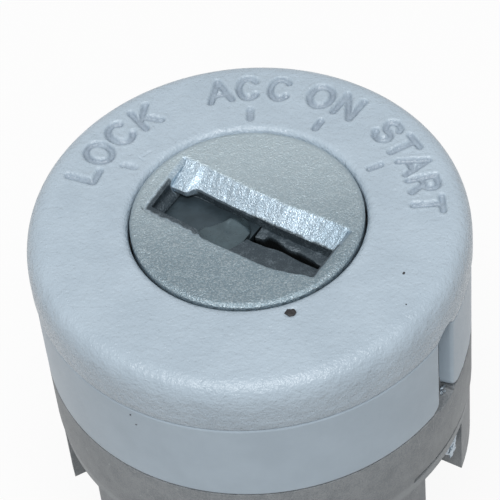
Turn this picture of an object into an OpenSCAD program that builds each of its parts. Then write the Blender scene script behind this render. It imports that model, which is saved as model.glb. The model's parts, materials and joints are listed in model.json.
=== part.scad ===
// Ignition lock cylinder: a die-cast lock housing under a painted bezel cap, with a keyed plug inside.
// The lock axis is Z, the rear face is at z = 0 and the key goes in from the top.
// Directions round the axis are clock angles: 0 at the ACC mark, which is +Y, and clockwise from the front.

/* [Overall] */
// Length from the rear face to the front face
lock_len = 62; // [60:0.5:68]

/* [Switch positions] */
// Clock angle of the LOCK mark, where the plug rests
lock_at = -58; // [-62:1:-50]
// Clock angle of the ACC mark
acc_at = 0; // [-4:1:4]
// Clock angle of the ON mark
on_at = 30; // [26:1:36]
// Clock angle of the START mark
start_at = 64; // [58:1:70]

/* [Bezel cap] */
// How far the head stands out over the skirt
head_over = 0.13; // [0.08:0.01:0.8]
// Height of the head above the skirt
head_h = 5.1; // [4.6:0.1:5.6]
// How far the rounded edge reaches in from the side
edge_w = 2.1; // [1.6:0.1:2.6]
// How far the rounded edge reaches down the side
edge_h = 3.1; // [2.6:0.1:3.6]
// Radius of the skirt
skirt_r = 19.1; // [17:0.1:22]
// Height of the skirt
skirt_h = 9; // [8:0.1:9.6]
// Wall of the skirt
skirt_wall = 1.25; // [1.1:0.05:1.5]
// Thickness of the cap's top
cap_top = 3; // [2.6:0.1:3.4]
// Radius of the rounded lip round the plug's face
lip_r = 0.7; // [0.4:0.05:1]
// Clock angle of the first of the two staking notches
notch_at = 119; // [116:1:124]
// Width of a staking notch
notch_w = 2.4; // [2:0.1:3]
// How far under the head's lower edge a notch's straight sides end and its round end starts
notch_down = 0.3; // [0:0.1:1]
// Radius of the skirt's corners beside a notch
notch_corner = 1; // [0.6:0.1:1.4]
// Distance of the middle of a position mark from the axis
mark_r = 12.25; // [11.8:0.05:12.8]
// Length of a position mark
mark_len = 1.9; // [1.4:0.1:2.4]
// Width of a position mark
mark_w = 0.85; // [0.6:0.05:1.1]
// Depth of a position mark
mark_depth = 0.3; // [0.2:0.05:0.5]

/* [Housing] */
// Radius of the plain pilot at the rear, which enters the steering column first
pilot_r = 13.6; // [13.2:0.05:13.8]
// Length of that pilot
pilot_len = 14; // [12:0.5:16]
// Radius of the barrel between pilot and flange
barrel_r = 14; // [13.9:0.1:15]
// How far the flange's side lies inside the collar's
flange_step = 0.16; // [0.1:0.01:0.4]
// Height of the flange up to its bevel
flange_h = 7.4; // [6.4:0.1:7.6]
// Height of the bevel between flange and collar
bevel_h = 1.2; // [0.8:0.1:1.6]
// Height of the collar, which is flush with the skirt above it
collar_h = 6.2; // [5:0.1:7]
// Radius of the chamber for the drive tail
chamber_r = 11.2; // [11:0.05:11.6]
// Depth of that chamber
chamber_h = 16; // [15.5:0.1:16.5]
// Wall between the plug's head and the cored pockets
nose_wall = 1.3; // [1:0.1:1.6]
// Width of the locating rib along the barrel
rib_w = 6.5; // [6:0.1:8]
// Height of the locating rib over the barrel
rib_h = 2.5; // [2.2:0.1:3]
// Width of the side pockets in the flange
side_pocket_w = 7; // [5:0.5:9]
// Depth of the side pockets in the flange
side_pocket_depth = 3; // [2:0.1:3.4]
// How far the side pockets' upper end stays under the bevel
side_pocket_drop = 0.5; // [0.3:0.1:1]

/* [Plug] */
// Radius of the plug's face
face_r = 10.1; // [10:0.05:10.3]
// Length of the plug's head
plug_head_h = 12.5; // [12:0.1:13]
// Radius of the plug's barrel
plug_r = 8.3; // [8.2:0.05:8.5]
// Width of the bevel round the face
rim_w = 0.6; // [0.4:0.05:0.8]
// Depth of the bevel round the face
rim_h = 0.35; // [0.2:0.05:0.5]
// Width of the key recess in the face
recess_w = 6.6; // [6.2:0.1:7]
// Length of the key recess in the face
recess_len = 16.6; // [16.2:0.1:16.8]
// Width of the slot under the recess
slot_w = 2.6; // [2.5:0.05:2.8]
// Depth of the recess's sloping sides
slope_h = 1.3; // [1.1:0.1:1.4]
// Length of the open slot on the START side of the axis
open_slot_len = 8; // [7:0.1:8.1]
// Width of the key blade that the keyway takes
blade_w = 9.2; // [9:0.1:9.6]
// Thickness of that key blade
blade_t = 2.2; // [2.1:0.05:2.3]
// Thickness of the two wards along the keyway
ward_t = 0.6; // [0.5:0.05:0.7]
// Radius of the plug's tail
tail_r = 5; // [4.8:0.05:5.2]
// Distance across the two flats of the tail
tail_flats = 8; // [7.6:0.1:8.4]

/* [Wafers] */
// Distance from one wafer to the next
wafer_pitch = 2; // [1.9:0.05:2]
// Height of the lowest wafer's middle over the drive tail's chamber
wafer_up = 2.6; // [2.2:0.1:2.8]
// Thickness of a wafer
wafer_t = 1; // [0.8:0.05:1.05]
// Width of a wafer
wafer_w = 7.6; // [7.2:0.1:7.8]
// How far a wafer springs out into the housing
wafer_travel = 0.8; // [0.6:0.05:0.9]
// Wire radius of a wafer spring
wafer_wire_r = 0.11; // [0.08:0.01:0.12]

/* [Key shutter] */
// Thickness of the shutter's flap
flap_t = 0.9; // [0.7:0.05:1]
// Depth of the flap's top under the plug's face
flap_depth = 2.3; // [2.1:0.05:2.4]
// Height of the nose on the flap
nose_up = 0.8; // [0.5:0.05:0.9]
// Distance of the shutter's pin from the recess's end
pin_in = 1; // [0.9:0.05:1.2]
// Radius of the shutter's pin
shutter_pin_r = 0.5; // [0.4:0.05:0.55]
// Radius of the shutter's hub
hub_r = 0.95; // [0.85:0.05:1]
// Wire radius of the shutter spring
shutter_wire_r = 0.11; // [0.08:0.01:0.12]

/* [Detent] */
// Radius of the detent ball
ball_r = 2; // [1.8:0.05:2.1]
// How deep the ball drops into a notch of the plug
ball_drop = 0.6; // [0.4:0.05:0.8]
// Room for the detent spring between ball and set screw
detent_room = 2.2; // [2.1:0.05:3]
// Radius of that set screw
screw_r = 2.5; // [2.4:0.05:2.7]

/* [Retaining plunger] */
// Radius of the retaining plunger
plunger_r = 2.2; // [2:0.05:2.3]
// How far the plunger stands out of the rib, and travels
plunger_out = 2; // [1.6:0.05:2]
// Radius of the cross pin that keeps the plunger in
plunger_pin_r = 0.5; // [0.4:0.05:0.6]

/* [Drive tail] */
// Radius of the drive tail's disc
disc_r = 10.9; // [10.6:0.05:10.95]
// Thickness of that disc
disc_t = 2.6; // [2.2:0.1:3]
// Width of the two drive slots in its skirt
drive_slot_w = 3.2; // [2.8:0.1:4]
// Height of the skirt's end over the rear face
drive_z = 4.6; // [4.4:0.1:5]
// Wire radius of the return spring
return_wire_r = 0.5; // [0.4:0.02:0.52]

/* [Hidden] */
$fn = 96;

// Clearances
run_clear = 0.05;     // radial, round a turning or sliding piece
seat_clear = 0.1;     // between faces that seat on each other
face_gap = 0.2;       // round the plug's face
fit_clear = 0.02;     // round a piece that is pressed or screwed in
over = 1;             // how far a cut runs past a face

// Heights over the rear face
face_z = lock_len;
skirt_top_z = face_z - head_h;
skirt_z = skirt_top_z - skirt_h;
collar_z = skirt_z - seat_clear;
bevel_z = collar_z - collar_h - bevel_h;
barrel_len = bevel_z - flange_h;
detent_z = barrel_len + flange_h / 2;
plunger_z = (pilot_len + barrel_len) / 2;
cap_under_z = face_z - cap_top;
nose_z = cap_under_z - seat_clear;
step_z = face_z - plug_head_h - seat_clear;
bore_r = plug_r + run_clear;
face_hole_r = face_r + face_gap;
nose_r = skirt_r - skirt_wall - seat_clear;
collar_r = skirt_r;
flange_r = collar_r - flange_step;
head_r = skirt_r + head_over;

// The cap's edge
edge_power = 2.7;     // 2 would be an ellipse, and more is squarer
edge_steps = 10;
tuck = 0.13;          // how far the head draws in above the skirt

// The plug's recess and the shutter's pocket
slot_z = face_z - slope_h;
ward_z = face_z - flap_depth;
pocket_left = -recess_w / 2;
pocket_right = slot_w / 2;
pocket_near = -1.2;
pocket_far = recess_len / 2 + 0.2;
pin_y = recess_len / 2 - pin_in;
flap_bottom_z = ward_z - flap_t;
pin_z = ward_z - hub_r;
flap_len = pin_y + 0.45;
pocket_floor_z = pin_z - flap_len - 0.5;
keyway_z = chamber_h + 1;
keyway_w = blade_w + 2 * seat_clear;
keyway_t = blade_t + 2 * seat_clear;
shutter_left = pocket_left + seat_clear;
shutter_right = pocket_right - run_clear;
hub_left = -1.2;
hub_relief_y = pin_y - hub_r - 0.15;

// Wafers
wafer_count = 8;
wafer_z = chamber_h + wafer_up;
wafer_r = plug_r - run_clear;
wafer_coil_r = 0.38;
spring_x = 3.03;
spring_lane = 2.2;    // where the lane of the wafer's spring begins
spring_seat_y = -4.2;
ear_y = 1;
broach_r = plug_r + wafer_travel + 0.5;
broach_w = wafer_w + 0.5;
cut_step = 0.35;
cuts = [1, 3, 2, 4, 2, 1, 3, 2];

// Detent, outward from the axis
ball_at = plug_r + run_clear + ball_r;
ball_hole_r = ball_r + run_clear;
screw_out = flange_r - 0.4;
screw_in = ball_at + ball_r + detent_room;
screw_len = screw_out - screw_in;
spring_end_gap = 0.03;
detent_at = lock_at + 90;
detent_coil_r = 1.45;
detent_wire_r = 0.2;

// Retaining plunger, outward from the axis
rib_r = barrel_r + rib_h;
plunger_tip = rib_r + plunger_out;
plunger_floor = bore_r + 2.05;
plunger_base = plunger_floor + plunger_out + 0.2;
plunger_cup = plunger_base + 1.3;
cross_at = plunger_cup + 1.1;
plunger_coil_r = 1.3;
plunger_wire_r = 0.22;
plunger_cup_r = 1.65;

// Drive tail
disc_z = drive_z + 3.8;
hub_bottom_z = disc_z + disc_t;
washer_t = 0.9;
washer_z = chamber_h - seat_clear - washer_t;
tail_hub_r = 6.2;
skirt_in_r = disc_r - 2.1;
tail_z = disc_z - 1.8;
clip_t = 0.9;
clip_z = disc_z - seat_clear - clip_t;
groove_r = 3.6;
coil_r = 8.2;
coil_turns = 2;
coil_low_z = hub_bottom_z + return_wire_r + 0.15;
coil_high_z = washer_z - return_wire_r - 0.2;
peg_r = 0.9;
peg_at = disc_r - peg_r - 0.1;
peg_turn = 70;        // clock angle from the key slot to the peg
peg_touch = return_wire_r + 0.1;
leg_out = 1.4;        // how far the spring's leg reaches into the chamber's groove
leg_off = 0.6;        // how far a leg leaves the coil before it turns outward
spring_slot_w = 2 * return_wire_r + 0.4;

// Seal under the plug's head
seal_h = 1;
seal_r_out = face_r - 0.25;

function clock(a, r) = [r * sin(a), r * cos(a)];

// Turns and lifts a piece drawn along +Z so that it points outward at clock angle a
module outward(a, z) {
    rotate([0, 0, -a]) translate([0, 0, z]) rotate([-90, 0, 0]) children();
}

// Turns a piece drawn with the key slot along Y to the LOCK position
module at_lock() {
    rotate([0, 0, -lock_at]) children();
}

module box(lo, hi) {
    translate(lo) cube([for (i = [0:2]) hi[i] - lo[i]]);
}

module ring(r_out, r_in, z_lo, z_hi) {
    difference() {
        translate([0, 0, z_lo]) cylinder(r = r_out, h = z_hi - z_lo);
        translate([0, 0, z_lo - over]) cylinder(r = r_in, h = z_hi - z_lo + 2 * over);
    }
}

// A round shaft with two flats
module flatted(r, flats, z_lo, z_hi) {
    intersection() {
        translate([0, 0, z_lo]) cylinder(r = r, h = z_hi - z_lo);
        box([-flats / 2, -r - over, z_lo], [flats / 2, r + over, z_hi]);
    }
}

// Wire of radius wire_r along a path. The rings stand square to the path, and ref is never along it.
function unit(v) = v / norm(v);
function along(p, i) =
    unit(p[min(i + 1, len(p) - 1)] - p[max(i - 1, 0)]);
function wire_ring(p, i, wire_r, sides, ref) =
    let (t = along(p, i), u = unit(cross(t, ref)), v = cross(t, u))
    [for (k = [0:sides - 1]) p[i] + wire_r * (cos(360 * k / sides) * u + sin(360 * k / sides) * v)];
module wire(p, wire_r, ref, sides = 6) {
    n = len(p);
    points = [for (i = [0:n - 1]) each wire_ring(p, i, wire_r, sides, ref)];
    start_cap = [for (k = [0:sides - 1]) k];
    end_cap = [for (k = [sides - 1:-1:0]) (n - 1) * sides + k];
    walls = [
        for (i = [0:n - 2], k = [0:sides - 1])
        let (a = i * sides + k, b = i * sides + (k + 1) % sides)
        [a, a + sides, b + sides, b]
    ];
    polyhedron(points, concat([start_cap], walls, [end_cap]), convexity = 8);
}

// A compression coil that stands on z = 0 and is long high, with a flat start and end
module coil(r, wire_r, long, turns, steps) {
    rise = long - 2 * wire_r;
    ends = 0.4;
    n = turns * steps;
    path = [
        for (i = [0:n])
        let (a = 360 * i / steps, share = max(0, min(1, (i / steps - ends) / (turns - 2 * ends))))
        [r * cos(a), r * sin(a), wire_r + rise * share]
    ];
    wire(path, wire_r, [0, 0, 1]);
}

// Half section of the cap: skirt, tucked-in line, rounded head, flat top and lip
function cap_edge() = [
    for (i = [0:edge_steps])
    let (t = 90 - 90 * i / edge_steps)
    [
        head_r - edge_w + edge_w * pow(sin(t), 2 / edge_power),
        face_z - edge_h + edge_h * pow(max(cos(t), 0), 2 / edge_power)
    ]
];
function cap_lip() = [
    for (i = [0:4])
    let (t = 22.5 * i)
    [face_hole_r + lip_r * (1 - sin(t)), face_z - lip_r * (1 - cos(t))]
];

module cap_body() {
    rotate_extrude() polygon(concat(
        [
            [skirt_r - skirt_wall, skirt_z],
            [skirt_r, skirt_z],
            [skirt_r, skirt_top_z - tuck],
            [skirt_r - tuck, skirt_top_z],
            [head_r - tuck / 2, skirt_top_z + (head_h - edge_h) * 0.55]
        ],
        cap_edge(),
        cap_lip(),
        [[face_hole_r, cap_under_z], [skirt_r - skirt_wall, cap_under_z]]
    ));
}

// Right half of a staking notch's outline, seen from outside, with y along the axis:
// the round corner of the skirt, the straight side and the round end
function notch_half() = concat(
    [for (t = [0:15:90])
        [notch_w / 2 + notch_corner * (1 - sin(t)), skirt_z + notch_corner * (1 - cos(t))]],
    [for (t = [0:15:90])
        [notch_w / 2 * cos(t), skirt_top_z - notch_down + notch_w / 2 * sin(t)]]
);
module notch_outline() {
    half = notch_half();
    flare = notch_w / 2 + notch_corner;
    last = len(half) - 2;
    polygon(concat(
        [[flare, skirt_z - over]],
        half,
        [for (i = [last:-1:0]) [-half[i][0], half[i][1]]],
        [[-flare, skirt_z - over]]
    ));
}

module at_notches() {
    for (turn = [0, 180])
        rotate([0, 0, -notch_at - turn]) children();
}

module bezel_cap() {
    color([0.70, 0.76, 0.81])
    difference() {
        cap_body();
        at_notches()
            translate([0, skirt_r + over, 0]) rotate([90, 0, 0])
                linear_extrude(skirt_wall + 2 * over) notch_outline();
        for (a = [lock_at, acc_at, on_at, start_at])
            rotate([0, 0, -a])
                box([-mark_w / 2, mark_r - mark_len / 2, face_z - mark_depth],
                    [mark_w / 2, mark_r + mark_len / 2, face_z + over]);
    }
}

module housing_body() {
    rear_edge = 0.8;
    nose_edge = 0.5;
    rotate_extrude() polygon([
        [0, 0],
        [pilot_r - rear_edge, 0],
        [pilot_r, rear_edge],
        [pilot_r, pilot_len],
        [barrel_r, pilot_len],
        [barrel_r, barrel_len],
        [flange_r, barrel_len],
        [flange_r, bevel_z],
        [collar_r, bevel_z + bevel_h],
        [collar_r, collar_z],
        [nose_r, collar_z],
        [nose_r, nose_z - nose_edge],
        [nose_r - nose_edge, nose_z],
        [0, nose_z]
    ]);
    outward(180, 0)
        box([-rib_w / 2, -barrel_len - over, 0], [rib_w / 2, -pilot_len, rib_r]);
}

// The metal that is driven over in each notch to keep the cap on
module stakes() {
    stake_w = notch_w - 2 * seat_clear;
    at_notches()
        box([-stake_w / 2, nose_r - 0.3, collar_z - 0.2], [stake_w / 2, collar_r - 0.3, collar_z + 1.3]);
}

// Cored pockets in the nose, between ribs
module nose_cores() {
    in_r = face_hole_r + nose_wall;
    out_r = nose_r - 1.6;
    core_h = 9;
    rib_count = 6;
    rib_t = 1.6;
    difference() {
        ring(out_r, in_r, nose_z - core_h, nose_z + over);
        for (i = [0:rib_count - 1])
            rotate([0, 0, 360 * i / rib_count])
                box([-rib_t / 2, 0, nose_z - core_h - over], [rib_t / 2, nose_r, nose_z + 2 * over]);
    }
}

module detent_bore() {
    outward(detent_at, detent_z) {
        cylinder(r = ball_hole_r, h = screw_in);
        translate([0, 0, screw_in]) cylinder(r = screw_r + fit_clear, h = screw_len + flange_r);
    }
}

module plunger_bore() {
    outward(180, plunger_z) {
        translate([0, 0, plunger_floor]) cylinder(r = plunger_r + run_clear, h = rib_r);
        translate([-rib_w, 0, cross_at]) rotate([0, 90, 0])
            cylinder(r = plunger_pin_r + fit_clear, h = 2 * rib_w);
    }
}

module housing() {
    color([0.50, 0.52, 0.53])
    difference() {
        union() {
            housing_body();
            stakes();
        }
        translate([0, 0, chamber_h - over]) cylinder(r = bore_r, h = lock_len);
        translate([0, 0, step_z]) cylinder(r = face_hole_r, h = lock_len);
        translate([0, 0, -over]) cylinder(r = chamber_r, h = chamber_h + over);
        at_lock() for (side = [0, 180])
            rotate([0, 0, side])
                box([-broach_w / 2, 0, keyway_z], [broach_w / 2, broach_r, step_z + over]);
        ring(seal_r_out + run_clear, bore_r, step_z - seal_h, step_z + over);
        nose_cores();
        detent_bore();
        plunger_bore();
        for (a = [notch_at, -notch_at])
            rotate([0, 0, -a])
                box([-side_pocket_w / 2, flange_r - side_pocket_depth, barrel_len - over],
                    [side_pocket_w / 2, flange_r + over, bevel_z - side_pocket_drop]);
        rotate([0, 0, 180])
            box([-spring_slot_w / 2, 0, -over],
                [spring_slot_w / 2, chamber_r + leg_out + 2 * seat_clear,
                    coil_high_z + return_wire_r + seat_clear]);
    }
}

module dust_seal() {
    color([0.10, 0.10, 0.11])
        ring(seal_r_out, bore_r + 0.35, step_z - seal_h, step_z + seat_clear / 2);
}

module plug_body() {
    rotate_extrude() polygon([
        [0, chamber_h],
        [plug_r, chamber_h],
        [plug_r, face_z - plug_head_h],
        [face_r, face_z - plug_head_h],
        [face_r, face_z - rim_h],
        [face_r - rim_w, face_z],
        [0, face_z]
    ]);
    flatted(tail_r, tail_flats, tail_z, chamber_h + over);
}

// The trough in the face, with sloping sides down to the slot
module recess() {
    rotate([90, 0, 0]) translate([0, 0, -recess_len / 2])
        linear_extrude(recess_len) polygon([
            [-recess_w / 2, face_z + over],
            [-recess_w / 2, face_z],
            [-slot_w / 2, slot_z - 0.01],
            [slot_w / 2, slot_z - 0.01],
            [recess_w / 2, face_z],
            [recess_w / 2, face_z + over]
        ]);
}

module shutter_pocket() {
    box([pocket_left, pocket_near, pocket_floor_z], [0, recess_len / 2, face_z + over]);
    box([pocket_left, pocket_near, pocket_floor_z], [pocket_right, pocket_far, slot_z]);
}

// The open half of the slot, with a ward along its right side
module open_slot() {
    box([-slot_w / 2, -open_slot_len, ward_z], [slot_w / 2, pocket_near + 0.01, slot_z]);
    box([-slot_w / 2, -open_slot_len, ward_z - 2.7],
        [slot_w / 2 - ward_t, pocket_near + 0.01, ward_z + 0.01]);
}

// The keyway, S-shaped because a ward stands out of each side
module keyway() {
    difference() {
        box([-keyway_t / 2, -keyway_w / 2, keyway_z], [keyway_t / 2, keyway_w / 2, ward_z]);
        box([keyway_t / 2 - ward_t, -keyway_w, keyway_z - over],
            [keyway_t, -1.6, ward_z + over]);
        box([-keyway_t, 0.4, keyway_z - over],
            [-keyway_t / 2 + ward_t, 2.2, ward_z + over]);
    }
}

// The slot of one wafer, with the seat of its spring left standing
module wafer_slot() {
    half_w = wafer_w / 2 + run_clear;
    half_t = wafer_t / 2 + run_clear;
    difference() {
        box([-half_w, -plug_r - over, -half_t], [half_w, plug_r + over, half_t]);
        box([spring_lane + run_clear, -plug_r - 2 * over, -wafer_t],
            [wafer_w, spring_seat_y, wafer_t]);
    }
}

module at_wafer(i) {
    translate([0, 0, wafer_z + wafer_pitch * i]) rotate([0, 0, 180 * (i % 2)]) children();
}

// Smeared metal at the end of the recess's far slope
module flash() {
    box_y = recess_len / 2 - 1.9;
    translate([0, recess_len / 2, 0]) rotate([90, 0, 0])
        linear_extrude(recess_len / 2 - box_y) polygon([
            [slot_w / 2 + 0.02, slot_z + 0.01],
            [slot_w / 2 - 0.78, slot_z - 0.5],
            [slot_w / 2 - 0.6, slot_z - 0.75],
            [slot_w / 2 + 0.02, slot_z - 0.75]
        ]);
}

module plug() {
    color([0.62, 0.67, 0.70])
    at_lock() {
        difference() {
            plug_body();
            recess();
            shutter_pocket();
            open_slot();
            keyway();
            for (i = [0:wafer_count - 1])
                at_wafer(i) wafer_slot();
            for (a = [lock_at, acc_at, on_at])
                rotate([0, 0, a - lock_at]) translate([plug_r + run_clear + ball_r - ball_drop, 0, detent_z])
                    sphere(r = ball_r + run_clear);
            translate([-face_r, pin_y, pin_z]) rotate([0, 90, 0])
                cylinder(r = shutter_pin_r + fit_clear, h = face_r + pocket_right + 1.6);
            ring(tail_r + over, groove_r, clip_z - fit_clear, clip_z + clip_t + fit_clear);
        }
        flash();
    }
}

module key_shutter() {
    nose_y = pin_y - 3.3;
    color([0.30, 0.33, 0.35])
    at_lock()
    difference() {
        union() {
            box([shutter_left, pin_y - flap_len + 0.01, flap_bottom_z],
                [shutter_right, hub_relief_y, ward_z]);
            box([hub_left, hub_relief_y - 0.01, flap_bottom_z], [shutter_right, pin_y, ward_z]);
            translate([hub_left, pin_y, pin_z]) rotate([0, 90, 0])
                cylinder(r = hub_r, h = shutter_right - hub_left);
            translate([0, 0, ward_z - 0.01]) linear_extrude(nose_up + 0.01) polygon([
                [shutter_left, pin_y - flap_len + 0.01],
                [-0.9, pin_y - flap_len + 0.01],
                [0.2, -0.15],
                [shutter_right, 0.9],
                [shutter_right, 1.5],
                [shutter_left, nose_y]
            ]);
        }
        translate([shutter_left - over, pin_y, pin_z]) rotate([0, 90, 0])
            cylinder(r = shutter_pin_r + run_clear, h = 8);
    }
}

module shutter_pin() {
    left = -6.6;
    color([0.75, 0.76, 0.78])
    at_lock() translate([left, pin_y, pin_z]) rotate([0, 90, 0])
        cylinder(r = shutter_pin_r, h = pocket_right + 1.5 - left);
}

// A torsion spring round the pin, with one leg under the flap and one against the pocket's end
module shutter_spring() {
    turns = 5.25;
    steps = 12;
    x_in = hub_left - shutter_wire_r - 0.1;
    x_out = shutter_left + shutter_wire_r + 0.05;
    r = shutter_pin_r + shutter_wire_r + 0.12;
    leg_z = flap_bottom_z - shutter_wire_r - 0.05;
    winding = [
        for (i = [0:turns * steps])
        let (a = -90 + 360 * i / steps)
        [x_in + (x_out - x_in) * i / (turns * steps), pin_y + r * cos(a), pin_z + r * sin(a)]
    ];
    leg = [[x_in, pin_y - 3, leg_z], [x_in, pin_y - 2.6, leg_z], [x_in, pin_y - 1.8, pin_z - r]];
    end_leg = [[x_out, pin_y + r + 0.05, pin_z + 0.45], [x_out, pocket_far - 0.2, pin_z + 0.8]];
    color([0.55, 0.56, 0.58])
    at_lock() wire(concat(leg, winding, end_leg), shutter_wire_r, [1, 0, 0]);
}

// The window's lower edge is where the key's cut holds the wafer flush
module wafer(i) {
    window_w = keyway_t + 0.2;
    window_top = keyway_w / 2 + 0.5;
    color([0.78, 0.66, 0.36])
    at_lock() at_wafer(i)
    difference() {
        intersection() {
            translate([0, 0, -wafer_t / 2]) cylinder(r = wafer_r, h = wafer_t);
            box([-wafer_w / 2, -wafer_r, -wafer_t], [wafer_w / 2, wafer_r, wafer_t]);
        }
        box([-window_w / 2, cut_step * cuts[i] - blade_w / 2, -wafer_t],
            [window_w / 2, window_top, wafer_t]);
        box([spring_lane - run_clear, -wafer_r - over, -wafer_t], [wafer_w, ear_y, wafer_t]);
    }
}

module wafer_spring(i) {
    long = ear_y - spring_seat_y - 2 * spring_end_gap;
    color([0.60, 0.61, 0.63])
    at_lock() at_wafer(i)
        translate([spring_x, spring_seat_y + spring_end_gap, 0]) rotate([-90, 0, 0])
            coil(wafer_coil_r, wafer_wire_r, long, 5, 8);
}

module detent_ball() {
    color([0.80, 0.81, 0.83])
    outward(detent_at, detent_z) translate([0, 0, ball_at]) sphere(r = ball_r);
}

module detent_spring() {
    from = ball_at + ball_r + spring_end_gap;
    color([0.60, 0.61, 0.63])
    outward(detent_at, detent_z) translate([0, 0, from])
        coil(detent_coil_r, detent_wire_r, screw_in - spring_end_gap - from, 3, 14);
}

module detent_screw() {
    slot = 0.7;
    slot_depth = 0.3 * screw_len;
    color([0.45, 0.45, 0.47])
    outward(detent_at, detent_z)
    difference() {
        translate([0, 0, screw_in + fit_clear]) cylinder(r = screw_r, h = screw_len - fit_clear);
        box([-slot / 2, -screw_r - over, screw_out - slot_depth],
            [slot / 2, screw_r + over, screw_out + over]);
    }
}

// A hollow pin with a slot for the cross pin and a ramp on its rear side
module retaining_plunger() {
    slot_in = cross_at - plunger_pin_r - seat_clear;
    slot_out = cross_at + plunger_pin_r + plunger_out + seat_clear;
    ramp = 40;
    ramp_in = 0.9;
    color([0.72, 0.73, 0.75])
    outward(180, plunger_z)
    difference() {
        translate([0, 0, plunger_base]) cylinder(r = plunger_r, h = plunger_tip - plunger_base);
        translate([0, 0, plunger_base - over])
            cylinder(r = plunger_cup_r, h = plunger_cup - plunger_base + over);
        box([-plunger_r - over, -plunger_pin_r - run_clear, slot_in],
            [plunger_r + over, plunger_pin_r + run_clear, slot_out]);
        translate([0, plunger_r, plunger_tip]) rotate([-ramp, 0, 0])
            box([-plunger_r - over, -plunger_r, -ramp_in], [plunger_r + over, plunger_r, plunger_r]);
    }
}

module plunger_spring() {
    color([0.60, 0.61, 0.63])
    outward(180, plunger_z) translate([0, 0, plunger_floor + spring_end_gap])
        coil(plunger_coil_r, plunger_wire_r, plunger_cup - plunger_floor - 2 * spring_end_gap, 4, 14);
}

module plunger_pin() {
    color([0.75, 0.76, 0.78])
    outward(180, plunger_z) translate([-rib_w / 2, 0, cross_at]) rotate([0, 90, 0])
        cylinder(r = plunger_pin_r, h = rib_w);
}

module thrust_washer() {
    color([0.72, 0.73, 0.75])
    at_lock()
    difference() {
        translate([0, 0, washer_z]) cylinder(r = disc_r - seat_clear, h = washer_t);
        flatted(tail_r + fit_clear, tail_flats + 2 * fit_clear, washer_z - over, washer_z + washer_t + over);
    }
}

// The disc turns with the plug's tail, and its slotted skirt drives the switch behind
module drive_tail() {
    peg_h = 1.9;
    color([0.58, 0.60, 0.61])
    at_lock()
    difference() {
        union() {
            translate([0, 0, disc_z]) cylinder(r = disc_r, h = disc_t);
            translate([0, 0, drive_z]) cylinder(r = disc_r, h = disc_z - drive_z + 0.01);
            translate([0, 0, hub_bottom_z - 0.01])
                cylinder(r = tail_hub_r, h = washer_z - hub_bottom_z + 0.01);
            rotate([0, 0, -peg_turn]) translate([0, peg_at, hub_bottom_z - 0.01])
                cylinder(r = peg_r, h = peg_h);
        }
        translate([0, 0, drive_z - over]) cylinder(r = skirt_in_r, h = disc_z - drive_z + over);
        flatted(tail_r + fit_clear, tail_flats + 2 * fit_clear, drive_z, washer_z + over);
        box([-drive_slot_w / 2, -disc_r - over, drive_z - over],
            [drive_slot_w / 2, disc_r + over, disc_z - 0.6]);
    }
}

// A spring clip in the groove of the plug's tail, open on one side
module retaining_clip() {
    clip_r = 6.6;
    clip_open = 5.2;
    color([0.35, 0.36, 0.38])
    at_lock()
    difference() {
        ring(clip_r, groove_r + fit_clear, clip_z, clip_z + clip_t);
        box([-clip_open / 2, 0, clip_z - over], [clip_open / 2, clip_r + over, clip_z + clip_t + over]);
    }
}

// A torsion spring round the drive tail's hub. One leg is held in the housing, and the other
// waits where the disc's peg reaches it at ON, so that it pushes the plug back from START.
module return_spring() {
    steps = 20;
    peg_side = on_at + peg_turn + asin((peg_r + peg_touch) / peg_at);
    sweep = 360 * coil_turns + 180 - peg_side;
    n = ceil(sweep / 360 * steps);
    winding = [
        for (i = [0:n])
        let (a = 180 - sweep * i / n)
        [each clock(a, coil_r), coil_high_z + (coil_low_z - coil_high_z) * i / n]
    ];
    leg = [
        [each clock(180, chamber_r + leg_out), coil_high_z],
        [each clock(180, coil_r + leg_off), coil_high_z]
    ];
    end_leg = [
        [each clock(peg_side, coil_r + leg_off), coil_low_z],
        [each clock(peg_side, peg_at + peg_r / 2), coil_low_z]
    ];
    color([0.55, 0.56, 0.58])
        wire(concat(leg, winding, end_leg), return_wire_r, [0, 0, 1], 8);
}

bezel_cap();
housing();
plug();
key_shutter();
shutter_pin();
shutter_spring();
retaining_plunger();
plunger_spring();
plunger_pin();
detent_ball();
detent_spring();
detent_screw();
thrust_washer();
drive_tail();
retaining_clip();
return_spring();
dust_seal();
wafer(0);  // wafer_1
wafer(1);  // wafer_2
wafer(2);  // wafer_3
wafer(3);  // wafer_4
wafer(4);  // wafer_5
wafer(5);  // wafer_6
wafer(6);  // wafer_7
wafer(7);  // wafer_8
wafer_spring(0);  // wafer_spring_1
wafer_spring(1);  // wafer_spring_2
wafer_spring(2);  // wafer_spring_3
wafer_spring(3);  // wafer_spring_4
wafer_spring(4);  // wafer_spring_5
wafer_spring(5);  // wafer_spring_6
wafer_spring(6);  // wafer_spring_7
wafer_spring(7);  // wafer_spring_8
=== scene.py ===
"""Ignition lock cylinder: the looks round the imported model.

Sizes are in millimetres, in the lock's own frame: Z is the lock axis and the front face is up.
Directions round the axis are clock angles: 0 at the ACC mark, which is +Y, and clockwise from the front.
The plug's own frame has its origin on the axis, +Y towards the end of the key slot that points
at LOCK, and depths are counted down from the front face.
"""

import json
import math

import bmesh
import bpy
import numpy as np
from mathutils import Matrix, Vector, noise

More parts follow.
